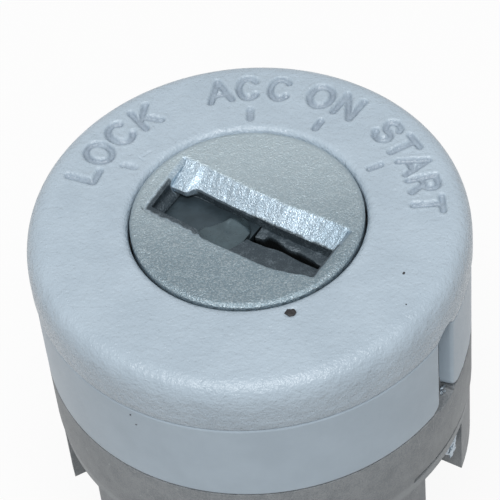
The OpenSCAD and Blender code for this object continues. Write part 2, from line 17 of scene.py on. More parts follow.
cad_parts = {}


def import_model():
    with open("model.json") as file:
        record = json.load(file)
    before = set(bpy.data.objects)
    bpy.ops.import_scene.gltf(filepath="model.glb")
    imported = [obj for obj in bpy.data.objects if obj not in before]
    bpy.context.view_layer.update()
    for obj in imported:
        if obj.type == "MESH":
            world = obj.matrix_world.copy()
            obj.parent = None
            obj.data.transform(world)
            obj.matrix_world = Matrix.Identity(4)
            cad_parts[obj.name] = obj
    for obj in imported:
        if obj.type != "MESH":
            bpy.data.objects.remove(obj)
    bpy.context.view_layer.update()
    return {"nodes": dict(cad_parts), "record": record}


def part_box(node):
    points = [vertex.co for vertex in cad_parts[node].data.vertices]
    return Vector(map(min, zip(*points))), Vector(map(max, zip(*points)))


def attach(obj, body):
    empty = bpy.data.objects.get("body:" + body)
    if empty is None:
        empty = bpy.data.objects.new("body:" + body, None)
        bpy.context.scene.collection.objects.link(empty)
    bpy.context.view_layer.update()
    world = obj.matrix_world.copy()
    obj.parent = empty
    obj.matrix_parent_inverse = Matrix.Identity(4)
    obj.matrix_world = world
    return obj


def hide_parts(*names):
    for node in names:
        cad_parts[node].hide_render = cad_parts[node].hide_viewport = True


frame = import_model()

MM = 0.001
IMAGE_SIZE = 500

# The lock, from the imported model
FACE_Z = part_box("bezel_cap")[1].z / MM
SKIRT_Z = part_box("bezel_cap")[0].z / MM
HEAD_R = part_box("bezel_cap")[1].y / MM
LOCK_AT, ACC_AT, ON_AT, START_AT = -58.0, 0.0, 30.0, 64.0

# Bezel cap
CAP_TOP_Z = FACE_Z - 0.06
HIGHEST_Z = FACE_Z - 0.005
HEAD_LINE_Z = FACE_Z - 5.1
SKIRT_R = HEAD_R - 0.13
SKIRT_WALL = 1.25
CAP_UNDER_Z = FACE_Z - 3.0
FACE_HOLE_R = 10.3
# The bore's rounded lip, and how far its near side is worn towards the plug
LIP_R, LIP_LEAN = 0.7, 0.13
# The head's worn outer edge: width, height and fullness
EDGE_W, EDGE_H, EDGE_POWER = 2.1, 3.1, 2.7
# How far the head is drawn in at its foot
HEAD_TUCK = 0.091
# Height over the head's lower edge, and how far the side is drawn in there
LINE_GROOVE = {0.12: 0.0, 0.04: 0.05, 0.0: 0.16, -0.06: 0.16, -0.11: 0.05, -0.2: 0.0}
# Height over the skirt's lower edge, and how far that edge is rounded in
SKIRT_FOOT = {0.1: 0.015, 0.03: 0.06, 0.0: 0.14}

# The two notches in the skirt
NOTCH_AT = (119.2, -60.8)
NOTCH_W = 2.3
NOTCH_TOP_Z = HEAD_LINE_Z - 0.3
NOTCH_CORNER = 1.0
NOTCH_ROUND = 0.34
# Within this distance from a notch's edge the skirt's surface falls to this close to its inner face
NOTCH_STEEP, NOTCH_SHEET = 0.1, 0.03
# How far from a notch's middle the columns of the mesh are moved to fit it
NOTCH_REACH = NOTCH_W / 2 + 2.4
FAR_OFF = 1e9

# Plug: its worn rim, its slot, and depths under the front face
PLUG_R = 10.1
RIM_W, RIM_H, RIM_POWER = 0.6, 0.22, 2.6
SLOT_HALF = 1.3
FACE_SINK = 0.04
SLOPE_H = 1.3
WARD_DEPTH = 2.3
PLUG_FACE_H = 5.0

# Camera, fitted to the round edges of the photograph
LENS_PX = 2367.9
VIEW_ELEVATION = 48.5
VIEW_ROLL = -6.13
VIEW_TURN = 6.0
FACE_IN_VIEW = (-0.281, -2.934, 202.17)


def clock(angle, r):
    """The point at a clock angle and a distance from the axis."""
    a = math.radians(angle)
    return r * math.sin(a), r * math.cos(a)


def smooth(lo, hi, x):
    """Eases from 0 at lo to 1 at hi."""
    t = np.clip((x - lo) / (hi - lo), 0, 1)
    return t * t * (3 - 2 * t)


def grain(points, size, seed):
    """Smooth noise from -1 to 1 at each point, with lumps of that size."""
    shift = Vector((seed * 17.3, seed * 5.1, seed * 9.7))
    return np.array([noise.noise(Vector(p) / size + shift) for p in points])


# Mesh making


class Shell:
    """Closed rings of points, and the faces between them."""

    def __init__(self):
        self.points = []
        self.faces = []

    def ring(self, points):
        """Adds points, and gives their numbers."""
        start = len(self.points)
        self.points.extend(np.asarray(points, float))
        return list(range(start, len(self.points)))

    def band(self, a, b, skip=()):
        """Faces between two rings, but for the columns to skip."""
        n = len(a)
        for i in range(n):
            if i not in skip:
                j = (i + 1) % n
                self.faces.append((a[i], a[j], b[j], b[i]))

    def change(self, fine, coarse, places):
        """Joins a fine ring to a coarse one. places[i] is the fine index at coarse point i."""
        n = len(coarse)
        for i in range(n):
            j = (i + 1) % n
            last = places[j] if places[j] > places[i] else places[j] + len(fine)
            between = [fine[k % len(fine)] for k in range(places[i], last + 1)]
            self.faces.append((*between, coarse[j], coarse[i]))


def in_scene(name, data):
    """A new object of that mesh, lamp or camera, in the scene."""
    obj = bpy.data.objects.new(name, data)
    bpy.context.scene.collection.objects.link(obj)
    return obj


def smoothed(mesh, sharp):
    """Makes a mesh smooth but for edges sharper than that angle, with its faces outward."""
    bm = bmesh.new()
    bm.from_mesh(mesh)
    bmesh.ops.recalc_face_normals(bm, faces=bm.faces)
    for f in bm.faces:
        f.smooth = True
    for e in bm.edges:
        e.smooth = len(e.link_faces) == 2 and e.calc_face_angle(0) < math.radians(sharp)
    bm.to_mesh(mesh)
    bm.free()


def mesh_of(name, bm):
    """A mesh from an edited one, which is freed."""
    mesh = bpy.data.meshes.new(name)
    bm.to_mesh(mesh)
    bm.free()
    return mesh


def piece(name, points, faces, sharp):
    """A smoothed mesh object from points in millimetres."""
    mesh = bpy.data.meshes.new(name)
    mesh.from_pydata([tuple(p) for p in np.asarray(points) * MM], [], faces)
    smoothed(mesh, sharp)
    return in_scene(name, mesh)


def dress(obj, body, material, slot, *nodes):
    """Gives a piece its material and body, and hides the nodes that it stands for. The slot is not used."""
    obj.data.materials.clear()
    obj.data.materials.append(material)
    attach(obj, body)
    if nodes:
        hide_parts(*nodes)
    return obj


# Position words on the cap: strokes in millimetres round a letter's middle, x to the right and y outward

LETTER_H = 3.0
LETTER_MID_R = 15.5
# A letter's strokes and swells stay within this reach of its middle
LETTER_REACH = 2.2
STROKE_W = 0.54
MARK_DEPTH, MARK_SOFT = 0.34, 0.19
# Metal swelled up beside a stroke: height, distance out and width
SWELL_H, SWELL_OUT, SWELL_W = 0.035, 0.32, 0.16
HIGHEST_BURR = 0.055


def arc(cx, cy, rx, ry, start, end, steps=18):
    """Points along part of an ellipse, between two angles."""
    angles = np.radians(np.linspace(start, end, steps + 1))
    return [(cx + rx * math.cos(a), cy + ry * math.sin(a)) for a in angles]


def letter_strokes():
    """The lines that each letter is drawn with."""
    half = LETTER_H / 2 - STROKE_W / 2
    bowl = arc(0.1, half - 0.64, 0.62, 0.64, 90, -90, 10)
    s_top = arc(0, half - 0.62, 0.68, 0.62, 15, 270, 14)
    s_low = arc(0, -half + 0.65, 0.74, 0.65, 90, -165, 14)
    return {
        "A": [[(-0.95, -half), (0, half), (0.95, -half)], [(-0.58, -0.42), (0.58, -0.42)]],
        "C": [arc(0.08, 0, 0.98, half, 42, 318)],
        "K": [
            [(-0.75, half), (-0.75, -half)],
            [(0.85, half), (-0.75, -0.3)],
            [(-0.25, 0.18), (0.9, -half)],
        ],
        "L": [[(-0.65, half), (-0.65, -half), (0.75, -half)]],
        "N": [[(-0.85, -half), (-0.85, half), (0.85, -half), (0.85, half)]],
        "O": [arc(0, 0, 1.0, half, 0, 360, 28)],
        "R": [
            [(-0.68, -half), (-0.68, half), (0.1, half)],
            bowl,
            [(0.1, half - 1.28), (-0.68, half - 1.28)],
            [(0.05, half - 1.28), (0.78, -half)],
        ],
        "S": [s_top + s_low],
        "T": [[(-0.85, half), (0.85, half)], [(0, half), (0, -half)]],
    }


# Letter, clock angle of its middle and width against the drawn one
POSITION_WORDS = (
    ("L", -68.8, 1.0), ("O", -58.7, 1.0), ("C", -48.2, 1.0), ("K", -37.3, 1.0),
    ("A", -10.6, 1.0), ("C", -1.1, 0.9), ("C", 9.5, 0.9),
    ("O", 24.0, 1.0), ("N", 34.3, 1.0),
    ("S", 51.7, 1.0), ("T", 60.3, 0.95), ("A", 69.0, 0.9), ("R", 77.9, 0.95), ("T", 87.0, 0.95),
)
# Mark, its clock angle, length, width and depth
POSITION_TICKS = (
    ("lock", LOCK_AT - 0.9, 1.6, 0.62, 0.2), ("acc", ACC_AT, 1.7, 0.75, 0.26),
    ("on", ON_AT - 0.6, 1.55, 0.7, 0.34), ("start", START_AT, 1.6, 0.6, 0.3),
)
TICK_R, TICK_SOFT = 12.25, 0.15
# The LOCK mark was knocked over: how far it leans, and how high metal is pushed up beside it
LOCK_LEAN, LOCK_BURR = 0.22, 0.05

# Fine scratches by the LOCK mark, each from and to a clock angle and distance from the axis
SCRATCHES = (((-52.6, 12.15), (-52.9, 11.5)), ((-51.4, 12.0), (-47.2, 11.8)))
SCRATCH_DEPTH, SCRATCH_FLOOR, SCRATCH_OUT = 0.07, 0.03, 0.15
# The lump of dirt: its place and half sizes, and the depth, floor and outer edge of its seat in the cap
DIRT_LUMP_AT = (160.1, 11.42)
DIRT_LUMP_SIZE = (0.5, 0.46, 0.19)
SEAT_DEPTH, SEAT_FLOOR, SEAT_OUT = 0.16, 0.3, 0.75
# Clock angle, distance from the axis, height and size
DIRT_SPECKS = ((117.6, 14.97, CAP_TOP_Z, 0.13), (127.6, 16.9, CAP_TOP_Z, 0.07), (-149.5, 19.12, 56.0, 0.06),
               (-150.8, 19.06, 54.9, 0.1))


def stroke_distance(u, v, line):
    """Distance of each point from a line of short straight stretches."""
    best = np.full(len(u), FAR_OFF)
    for (ax, ay), (bx, by) in zip(line, line[1:]):
        dx, dy = bx - ax, by - ay
        t = np.clip(((u - ax) * dx + (v - ay) * dy) / (dx * dx + dy * dy + 1e-12), 0, 1)
        best = np.minimum(best, np.hypot(u - ax - t * dx, v - ay - t * dy))
    return best


def pressed(depth, mark):
    """A mark taken into the depths so far, which keep their raised edges beside it."""
    return np.where(mark > 0.002, np.maximum(depth, mark), depth)


def press_words(depth, x, y):
    """Presses the words in, with metal swelled up beside their strokes."""
    strokes = letter_strokes()
    for letter, angle, wide in POSITION_WORDS:
        a = math.radians(angle)
        u = (x * math.cos(a) - y * math.sin(a)) / wide
        v = x * math.sin(a) + y * math.cos(a) - LETTER_MID_R
        near = np.nonzero((np.abs(u) < LETTER_REACH) & (np.abs(v) < LETTER_REACH))[0]
        far = np.full(len(near), FAR_OFF)
        for line in strokes[letter]:
            far = np.minimum(far, stroke_distance(u[near], v[near], line))
        sunk = MARK_DEPTH * (1 - smooth(STROKE_W / 2 - MARK_SOFT, STROKE_W / 2 + MARK_SOFT, far))
        swell = SWELL_H * np.exp(-(((far - STROKE_W / 2 - SWELL_OUT) / SWELL_W) ** 2))
        depth[near] = np.where(sunk > 0.01, np.maximum(depth[near], sunk), depth[near] - swell)
    return depth


def press_ticks(depth, x, y):
    """Presses in the mark of each position."""
    for name, angle, length, width, deep in POSITION_TICKS:
        a = math.radians(angle)
        u = x * math.cos(a) - y * math.sin(a)
        v = x * math.sin(a) + y * math.cos(a) - TICK_R
        if name == "lock":
            u = u + LOCK_LEAN * v
            depth = depth - LOCK_BURR * np.exp(-(((u - 0.75) / 0.32) ** 2 + ((v - 0.25) / 0.55) ** 2))
        round_r = width / 2 - 0.04
        out = np.hypot(u, np.maximum(np.abs(v) - (length / 2 - round_r), 0))
        depth = pressed(depth, deep * (1 - smooth(round_r - TICK_SOFT, round_r + TICK_SOFT, out)))
    return depth


def sunk_marks(x, y):
    """How deep the words, ticks and scratches are in the cap's top at each point."""
    depth = press_ticks(press_words(np.zeros(len(x)), x, y), x, y)
    for a, b in SCRATCHES:
        far = stroke_distance(x, y, (clock(*a), clock(*b)))
        depth = pressed(depth, SCRATCH_DEPTH * (1 - smooth(SCRATCH_FLOOR, SCRATCH_OUT, far)))
    lump_x, lump_y = clock(*DIRT_LUMP_AT)
    seat = SEAT_DEPTH * (1 - smooth(SEAT_FLOOR, SEAT_OUT, np.hypot(x - lump_x, y - lump_y)))
    return np.maximum(pressed(depth, seat), -HIGHEST_BURR)


# Bezel cap

# Columns round the cap, each span from and to a clock angle with its step: close at words, ticks and dirt
COLUMN_SPANS = (
    (-180, -76, 2), (-76, -67, 0.32), (-67, -53, 0.25), (-53, 96, 0.32),
    (96, 112, 1.5), (112, 127, 0.25), (127, 155, 2), (155, 165, 0.5), (165, 180, 2),
)
WIDE_STEP = 2
# Rings without marks keep one close column in so many, and all that are this near a notch's middle
KEPT_EVERY, NOTCH_SPAN = 5, 7.3
# The marks fade out beside the bore's lip and before the worn outer edge
MARKS_IN, MARKS_OUT = (FACE_HOLE_R + LIP_R, FACE_HOLE_R + LIP_R + 0.2), (17.13, 16.98)


def angle_steps(spans):
    """Clock angles in spans of (from, to, step), each up to but without its end."""
    out = []
    for start, end, step in spans:
        out.extend(np.linspace(start, end, max(1, round((end - start) / step)), endpoint=False))
    return np.array(out)


def notch_half(z):
    """Half the width of a notch at a height: a round crown, straight sides and flared corners."""
    half = NOTCH_W / 2
    if z > NOTCH_TOP_Z:
        crown = math.sqrt(max(half**2 - (z - NOTCH_TOP_Z) ** 2, 0.1**2))
        return crown + (half - crown) * smooth(NOTCH_TOP_Z + half, CAP_TOP_Z - EDGE_H, z)
    if z > SKIRT_Z + NOTCH_CORNER:
        return half
    return half + NOTCH_CORNER - math.sqrt(NOTCH_CORNER**2 - (SKIRT_Z + NOTCH_CORNER - z) ** 2)


def along_skirt(angles, at):
    """Distance round the skirt from a notch's middle, in millimetres."""
    return SKIRT_R * np.radians((angles - at + 180) % 360 - 180)


def drawn_to_notch(angles, z):
    """The columns' angles, moved so that the same ones stand on the notches' edges at every height."""
    out = angles.astype(float).copy()
    half, edge = NOTCH_W / 2, notch_half(z)
    for at in NOTCH_AT:
        t = along_skirt(angles, at)
        size = np.abs(t)
        moved = np.where(size <= half, size * edge / half,
                         edge + (size - half) * (NOTCH_REACH - edge) / (NOTCH_REACH - half))
        near = size < NOTCH_REACH
        out[near] = at + np.degrees(np.sign(t[near]) * moved[near] / SKIRT_R)
    return out


def notch_depth_field(angles, z):
    """Signed distance in millimetres of each column from the nearest notch's edge, under 0 inside."""
    best = np.full(len(angles), FAR_OFF)
    half = NOTCH_W / 2
    moved = drawn_to_notch(angles, z)
    for at in NOTCH_AT:
        size, t = np.abs(along_skirt(angles, at)), np.abs(along_skirt(moved, at))
        if z > NOTCH_TOP_Z:
            d = np.hypot(t, z - NOTCH_TOP_Z) - half
        elif z > SKIRT_Z + NOTCH_CORNER:
            d = t - half
        else:
            d = NOTCH_CORNER - np.hypot(t - half - NOTCH_CORNER, z - SKIRT_Z - NOTCH_CORNER)
            d = np.where(t > half + NOTCH_CORNER, FAR_OFF, d)
        if z < NOTCH_TOP_Z + half - 0.03:
            d = np.where(size < half, size - half, d)
        best = np.minimum(best, np.where(size > NOTCH_REACH, FAR_OFF, d))
    return best


def notch_sink(d):
    """How far the skirt's surface is sunk, with a rounded edge and a steep side."""
    near = np.clip(NOTCH_ROUND - d, 0, NOTCH_ROUND)
    rounding = NOTCH_ROUND - np.sqrt(np.maximum(NOTCH_ROUND**2 - near**2, 0))
    side = NOTCH_ROUND + (SKIRT_WALL - NOTCH_ROUND - NOTCH_SHEET) * np.clip(-d / NOTCH_STEEP, 0, 1)
    return np.where(d > 0, rounding, side)


def cap_profile_rings():
    """Half section of the cap: (r, z) of the lip's, the top's and the edge's rings, and z of the side's."""
    lip = [(FACE_HOLE_R, CAP_UNDER_Z + 0.8), (FACE_HOLE_R, CAP_TOP_Z - LIP_R - 0.4)]
    lip += [
        (FACE_HOLE_R + LIP_R * (1 - math.sin(t)), CAP_TOP_Z - LIP_R * (1 - math.cos(t)))
        for t in np.radians(np.linspace(90, 0, 9))
    ]
    top = [(r, CAP_TOP_Z) for r in np.linspace(FACE_HOLE_R + LIP_R + 0.1, HEAD_R - EDGE_W, 62)]
    edge = [
        (
            HEAD_R - EDGE_W + EDGE_W * math.sin(t) ** (2 / EDGE_POWER),
            CAP_TOP_Z - EDGE_H + EDGE_H * math.cos(t) ** (2 / EDGE_POWER),
        )
        for t in np.radians(np.concatenate([[0.6, 2, 4.5], np.linspace(8, 82, 16), [86, 88.5]]))
    ]
    side_z = np.concatenate([
        np.linspace(CAP_TOP_Z - EDGE_H, HEAD_LINE_Z + 0.25, 24),
        HEAD_LINE_Z + np.array(list(LINE_GROOVE)),
        np.linspace(HEAD_LINE_Z - 0.4, SKIRT_Z + 1.3, 18),
        np.linspace(SKIRT_Z + 1.2, SKIRT_Z + 0.2, 10),
        SKIRT_Z + np.array(list(SKIRT_FOOT)),
    ])
    return lip, top, edge, side_z


def stepped(z, base, steps):
    """The step's value at a height over the base, where one of the steps stands."""
    for height, value in steps.items():
        if abs(z - base - height) < 1e-6:
            return value
    return 0.0


def side_radius(z):
    """The cap's radius down its side: the head, the drawn-in line and the skirt."""
    drawn_in = stepped(z, HEAD_LINE_Z, LINE_GROOVE) + stepped(z, SKIRT_Z, SKIRT_FOOT)
    if z > HEAD_LINE_Z - 0.01:
        return HEAD_R - HEAD_TUCK * smooth(HEAD_LINE_Z + 1.0, HEAD_LINE_Z, z) - drawn_in
    return SKIRT_R - drawn_in


def cap_columns():
    """Clock angles of the close columns that carry the marks, and which of them the other rings keep."""
    fine = angle_steps(COLUMN_SPANS)
    wide = [(start, end) for start, end, step in COLUMN_SPANS if step == WIDE_STEP]
    kept = [
        i for i, a in enumerate(fine)
        if i % KEPT_EVERY == 0 or any(abs(a - at) < NOTCH_SPAN for at in NOTCH_AT)
        or any(start <= a < end for start, end in wide)
    ]
    return fine, kept


def loop(angles, r, z):
    """Points round the lock axis at those clock angles."""
    a = np.radians(angles)
    return np.stack([r * np.sin(a), r * np.cos(a), np.broadcast_to(z, len(a))], axis=1)


def lip_rings(shell, angles, lip):
    """The bore's lip, leaning towards the plug on its near side."""
    lean = LIP_LEAN * np.clip(-np.cos(np.radians(angles + 8)), 0, 1) ** 2
    return [shell.ring(loop(angles, r - lean * (1 - (r - FACE_HOLE_R) / LIP_R), z)) for r, z in lip]


def marked_rings(shell, angles, top):
    """The flat top, with the marks pressed into it."""
    rings = []
    for r, z in top:
        p = loop(angles, r, z)
        p[:, 2] -= sunk_marks(p[:, 0], p[:, 1]) * smooth(*MARKS_IN, r) * smooth(*MARKS_OUT, r)
        rings.append(shell.ring(p))
    return rings


def notched_side(shell, side, inner, fields):
    """The cap's side and its inner face, open where both are deep inside a notch."""
    n = len(side[0])
    open_there = [
        (a <= -NOTCH_STEEP) & (b <= -NOTCH_STEEP) for a, b in zip(fields, fields[1:])
    ]
    cut = np.array([deep & np.roll(deep, -1) for deep in open_there])
    for k in range(len(side) - 1):
        gone = set(np.nonzero(cut[k])[0])
        shell.band(side[k], side[k + 1], gone)
        shell.band(inner[k], inner[k + 1], gone)
        for i in gone:
            j = (i + 1) % n
            if not cut[k][(i - 1) % n]:
                shell.faces.append((side[k][i], side[k + 1][i], inner[k + 1][i], inner[k][i]))
            if not cut[k][j]:
                shell.faces.append((side[k][j], side[k + 1][j], inner[k + 1][j], inner[k][j]))
            if k == 0 or not cut[k - 1][i]:
                shell.faces.append((side[k][i], side[k][j], inner[k][j], inner[k][i]))
    shell.band(side[-1], inner[-1], set(np.nonzero(cut[-1])[0]))


def skirt_rings(shell, columns, heights):
    """The skirt's outside, its inside, and the notches' depth at the outside."""
    fields = [notch_depth_field(columns, z) for z in heights]
    side = [
        shell.ring(loop(drawn_to_notch(columns, z), side_radius(z) - notch_sink(d), z))
        for z, d in zip(heights, fields)
    ]
    inner_r = SKIRT_R - SKIRT_WALL
    inner = [
        shell.ring(loop(drawn_to_notch(columns, z), inner_r + stepped(z, SKIRT_Z, SKIRT_FOOT), z))
        for z in heights
    ]
    return side, inner, fields


def bezel_cap(material):
    """The painted cap: bore, marked top, worn edge, and skirt with its two notches."""
    fine, kept = cap_columns()
    coarse = fine[kept]
    shell = Shell()
    lip, top, edge, side_z = cap_profile_rings()
    rings = lip_rings(shell, coarse, lip)
    marked = marked_rings(shell, fine, top)
    outer = [shell.ring(loop(coarse, r, z)) for r, z in edge]
    side, inner, fields = skirt_rings(shell, coarse, side_z)
    under = shell.ring(loop(coarse, FACE_HOLE_R + 0.4, CAP_UNDER_Z))
    roof = shell.ring(loop(coarse, SKIRT_R - SKIRT_WALL, CAP_UNDER_Z))

    for a, b in zip(rings, rings[1:]):
        shell.band(a, b)
    shell.change(marked[0], rings[-1], kept)
    for a, b in zip(marked, marked[1:]):
        shell.band(a, b)
    shell.change(marked[-1], outer[0], kept)
    for a, b in zip(outer, outer[1:] + side[:1]):
        shell.band(a, b)
    notched_side(shell, side, inner, fields)
    shell.band(inner[0], roof)
    shell.band(roof, under)
    shell.band(under, rings[0])
    obj = piece("bezel_cap_shell", shell.points, shell.faces, 55)
    return dress(obj, "lock_body", material, "painted_cap", "bezel_cap")


# Plug face with its key recess, in the plug's own frame

FAR, RIGHT, NEAR, LEFT = 0, 1, 2, 3
RECESS_COUNTS = (80, 200, 80, 200)
RECESS_SIDE = np.repeat(np.arange(4), RECESS_COUNTS)
RECESS_NEAR_Y = -8.38
RECESS_CORNERS = ((-2.96, 7.95), (3.1, 8.35), (2.98, RECESS_NEAR_Y), (-2.95, RECESS_NEAR_Y))
# The slot's ends, its left side there, and the wider pocket over the key shutter
SLOT_FAR_Y, SLOT_NEAR_Y, SLOT_LEFT = 8.35, -8.3, -1.16
POCKET_LEFT, POCKET_NEAR_Y = -3.3, -0.62
# The lobe of pushed metal: how far it reaches over the slot, and how far it sags
LOBE_REACH, LOBE_SAG = 0.82, 0.1
# The right slope's foot, from the near end to the far one
FAR_FOOT_X = 1.42
FOOT_Y = (-7.7, -4.7, -2.8, 0.3, 4.1, 5.7, 8.3)
FOOT_X = (1.18, 1.12, 1.06, 1.18, 1.3, FAR_FOOT_X, FAR_FOOT_X)
# Rings: depths up the slot, shares and drops over the ward, and steps of the wall, slope, face and rim
SLOT_DEPTHS = (PLUG_FACE_H, 4.2, 3.4, 2.9, 2.5, WARD_DEPTH + 0.08)
WARD_TOP = ((0.1, 0.0), (0.5, -0.02), (0.97, 0.0))
WALL_STEPS, SLOPE_STEPS, FACE_STEPS, RIM_STEPS = 5, 24, 24, 9
# Shares of the way over the recess's worn edge, and depths of the plug's side
EDGE_SHARES = (0.0, 0.2, 0.42, 0.66, 0.85)
SIDE_DEPTHS = (0.75, 1.5, PLUG_FACE_H)
# Height, size and seed of the slopes' lumps, the face's swells and the rim's wear
SLOPE_LUMPS = ((0.04, 1.3, 4), (0.022, 0.55, 5), (0.014, 0.22, 7))
FACE_SWELL, RIM_WEAR = (0.022, 2.4, 8), (0.03, 0.3, 9)
# Width and drop of the recess's worn edge by side, and what the left side has more of past its nick
EDGE_WORN = {FAR: (0.6, 0.34), RIGHT: (0.3, 0.1), NEAR: (0.6, 0.24), LEFT: (0.2, 0.16)}
NICK_Y, LEFT_MORE = (2.2, 2.9), (0.85, 0.2)


def on_level(points):
    """Flat points with a third value of 0."""
    return np.column_stack([points, np.zeros(len(points))])


def wander(y, size, seed):
    """Smooth noise from -1 to 1 along a line."""
    return grain(np.column_stack([y, np.zeros_like(y), np.zeros_like(y)]), size, seed)


def recess_left(y):
    """The recess's left edge on the face: it bows out in the middle, with a nick."""
    ragged = 0.04 * wander(y, 0.45, 14)
    return ragged + np.interp(
        y, [-8.4, -7.4, -6.8, -6.0, -5.2, -4.5, 0, 1.9, 2.25, 2.6, 3.1, 5, 8.05],
        [-2.95, -3.15, -3.4, -3.6, -3.8, -3.88, -3.9, -3.9, -3.8, -3.4, -3.15, -3.02, -2.96])


def recess_right(y):
    """The recess's right edge on the face, ragged where keys have dragged over it."""
    ragged = 0.06 * wander(y, 0.6, 11) + 0.035 * wander(y, 0.2, 12)
    return ragged + np.interp(y, [-8.4, -6.5, -4.8, -2.3, -0.4, 1.5, 4, 6.5, 8.4],
                              [2.98, 2.96, 2.9, 2.64, 2.7, 2.66, 2.88, 3.02, 3.1])


def recess_outline():
    """The recess's edge on the face: the far end, the right side, the near end and the left side."""
    shares = np.concatenate([np.arange(count) / count for count in RECESS_COUNTS])
    start = np.array(RECESS_CORNERS)[RECESS_SIDE]
    end = np.roll(RECESS_CORNERS, -1, axis=0)[RECESS_SIDE]
    edge = start + (end - start) * shares[:, None]
    y = edge[:, 1]
    edge[:, 0] = np.where(RECESS_SIDE == RIGHT, recess_right(y), edge[:, 0])
    edge[:, 0] = np.where(RECESS_SIDE == LEFT, recess_left(y), edge[:, 0])
    return edge


def slot_outline(edge):
    """The slot's edge at the foot of the slopes, one point for each point of the recess's edge."""
    y = edge[:, 1]
    open_left = np.interp(y, [-8.4, -6.2, -5.2, -4.3, -3.6, -2.6, -1.4],
                          [-1.16, -1.22, -1.14, -1.06, -1.1, -1.28, -1.34])
    left = POCKET_LEFT + (open_left - POCKET_LEFT) * smooth(POCKET_NEAR_Y + 0.1, POCKET_NEAR_Y - 0.15, y)
    low = edge.copy()
    low[:, 1] = np.clip(y, SLOT_NEAR_Y, SLOT_FAR_Y)
    right = RECESS_SIDE == RIGHT
    foot = np.interp(y, FOOT_Y, FOOT_X) + 0.035 * wander(y, 0.4, 21) + 0.03 * wander(y, 0.14, 22)
    low[right, 0] = foot[right]
    low[RECESS_SIDE == LEFT, 0] = left[RECESS_SIDE == LEFT]
    ends = ((FAR, POCKET_LEFT, SLOT_HALF, SLOT_FAR_Y), (NEAR, SLOT_HALF, SLOT_LEFT, SLOT_NEAR_Y))
    for side, x0, x1, end_y in ends:
        here = RECESS_SIDE == side
        low[here, 0] = np.linspace(x0, x1, here.sum(), endpoint=False)
        low[here, 1] = end_y
    return low


def ward_outline(low):
    """The slot's outline under the ward on its right side, whose edge is worn in waves."""
    y = low[:, 1]
    worn = np.interp(y, [-8.4, -7.1, -6.5, -5.6, -4.9, -4.2, -3.8, -3.1, -2.55, -1.7, -1.5, -0.8],
                     [-0.05, 0.05, 0.18, 0.3, 0.32, 0.2, 0.22, 0.42, 0.6, 0.6, 0.1, 0.02])
    worn = worn + 0.03 * wander(y, 0.3, 23)
    inner = low.copy()
    right, near = RECESS_SIDE == RIGHT, RECESS_SIDE == NEAR
    inner[right, 0] = np.where(y < POCKET_NEAR_Y - 0.03, worn, SLOT_HALF)[right]
    inner[near, 0] = SLOT_LEFT + (low[near, 0] - SLOT_LEFT) * (0.96 / (SLOT_HALF - SLOT_LEFT))
    return inner


def slope_lift(points, y, depth, share):
    """How far the slopes' metal is raised: lumps, and faint drag marks of keys on the right."""
    lump = sum(height * grain(points, size, seed) for height, size, seed in SLOPE_LUMPS)
    along = np.column_stack([y + 0.4 * points[:, 0], depth * 0.3, np.zeros_like(y)])
    drags = 0.008 * grain(along, 0.5, 3) * (0.5 + 0.5 * grain(points, 1.6, 13))
    right = RECESS_SIDE == RIGHT
    left = (RECESS_SIDE == LEFT) & (y < POCKET_NEAR_Y - 0.1)
    fade = min(1, 5 * share, 6 * (1 - share))
    return np.where(right, lump + drags, np.where(left, 0.9 * lump, 0)) * fade


def smear(ring):
    """Metal pushed out over the slot in a lobe at the far end of the right slope."""
    p = ring.copy()
    x, y, d = ring.T
    low = smooth(0.1, 1.25, d) * smooth(2.45, 1.8, d)
    reach = LOBE_REACH + 0.1 * wander(y, 0.5, 31)
    right = (RECESS_SIDE == RIGHT) * smooth(6.2, 6.95, y) * low
    far = (RECESS_SIDE == FAR) * (x - POCKET_LEFT) / (FAR_FOOT_X - POCKET_LEFT) * low
    p[:, 0] -= reach * (right + np.clip(far, 0, 1))
    p[:, 2] += LOBE_SAG * right
    return p


def turned_in(ring):
    """The far wall, drawn in over the shutter's hub."""
    out = ring.copy()
    depth = out[:, 2]
    far = (RECESS_SIDE == FAR) & (depth < WARD_DEPTH + 0.01)
    out[far, 1] -= 0.65 * smooth(1.4, WARD_DEPTH, depth[far])
    return out


def recess_rings(edge, edge_depth):
    """Rings of (x, y, depth) from the plug face's underside up the slot and slopes to the face."""
    low = slot_outline(edge)
    inner = ward_outline(low)
    n = len(edge)
    y = edge[:, 1]

    def level(xy, depth):
        return np.column_stack([xy, np.broadcast_to(depth, n)])

    rings = [level(inner, depth) for depth in SLOT_DEPTHS]
    rings += [level(inner + (low - inner) * share, WARD_DEPTH + drop) for share, drop in WARD_TOP]
    wall = WARD_DEPTH - SLOPE_H
    rings += [level(low, WARD_DEPTH - wall * k / WALL_STEPS) for k in range(1, WALL_STEPS)]
    for k in range(SLOPE_STEPS):
        share = k / SLOPE_STEPS
        flat = level(low + (edge - low) * share, SLOPE_H + (edge_depth - SLOPE_H) * share)
        flat[:, 2] -= slope_lift(flat, y, flat[:, 2], share)
        rings.append(flat)
    return rings


def edge_rounding(edge):
    """Width, drop and power of the worn rounding on each side of the recess."""
    past_nick = smooth(*NICK_Y, edge[:, 1]) * (RECESS_SIDE == LEFT)
    worn = np.array([EDGE_WORN[side] for side in (FAR, RIGHT, NEAR, LEFT)])[RECESS_SIDE]
    width, drop = (worn + past_nick[:, None] * np.array(LEFT_MORE)).T
    uneven = 1 + 0.3 * grain(on_level(edge), 0.6, 6)
    return width * uneven, drop, 2 - 0.7 * past_nick


def in_lock_frame(ring):
    """Points of the plug's own frame, with depths, as points of the lock's frame."""
    a = math.radians(-LOCK_AT)
    x, y, depth = np.asarray(ring, float).T
    across, up = x * math.cos(a) - y * math.sin(a), x * math.sin(a) + y * math.cos(a)
    return np.column_stack([across, up, FACE_Z - depth])


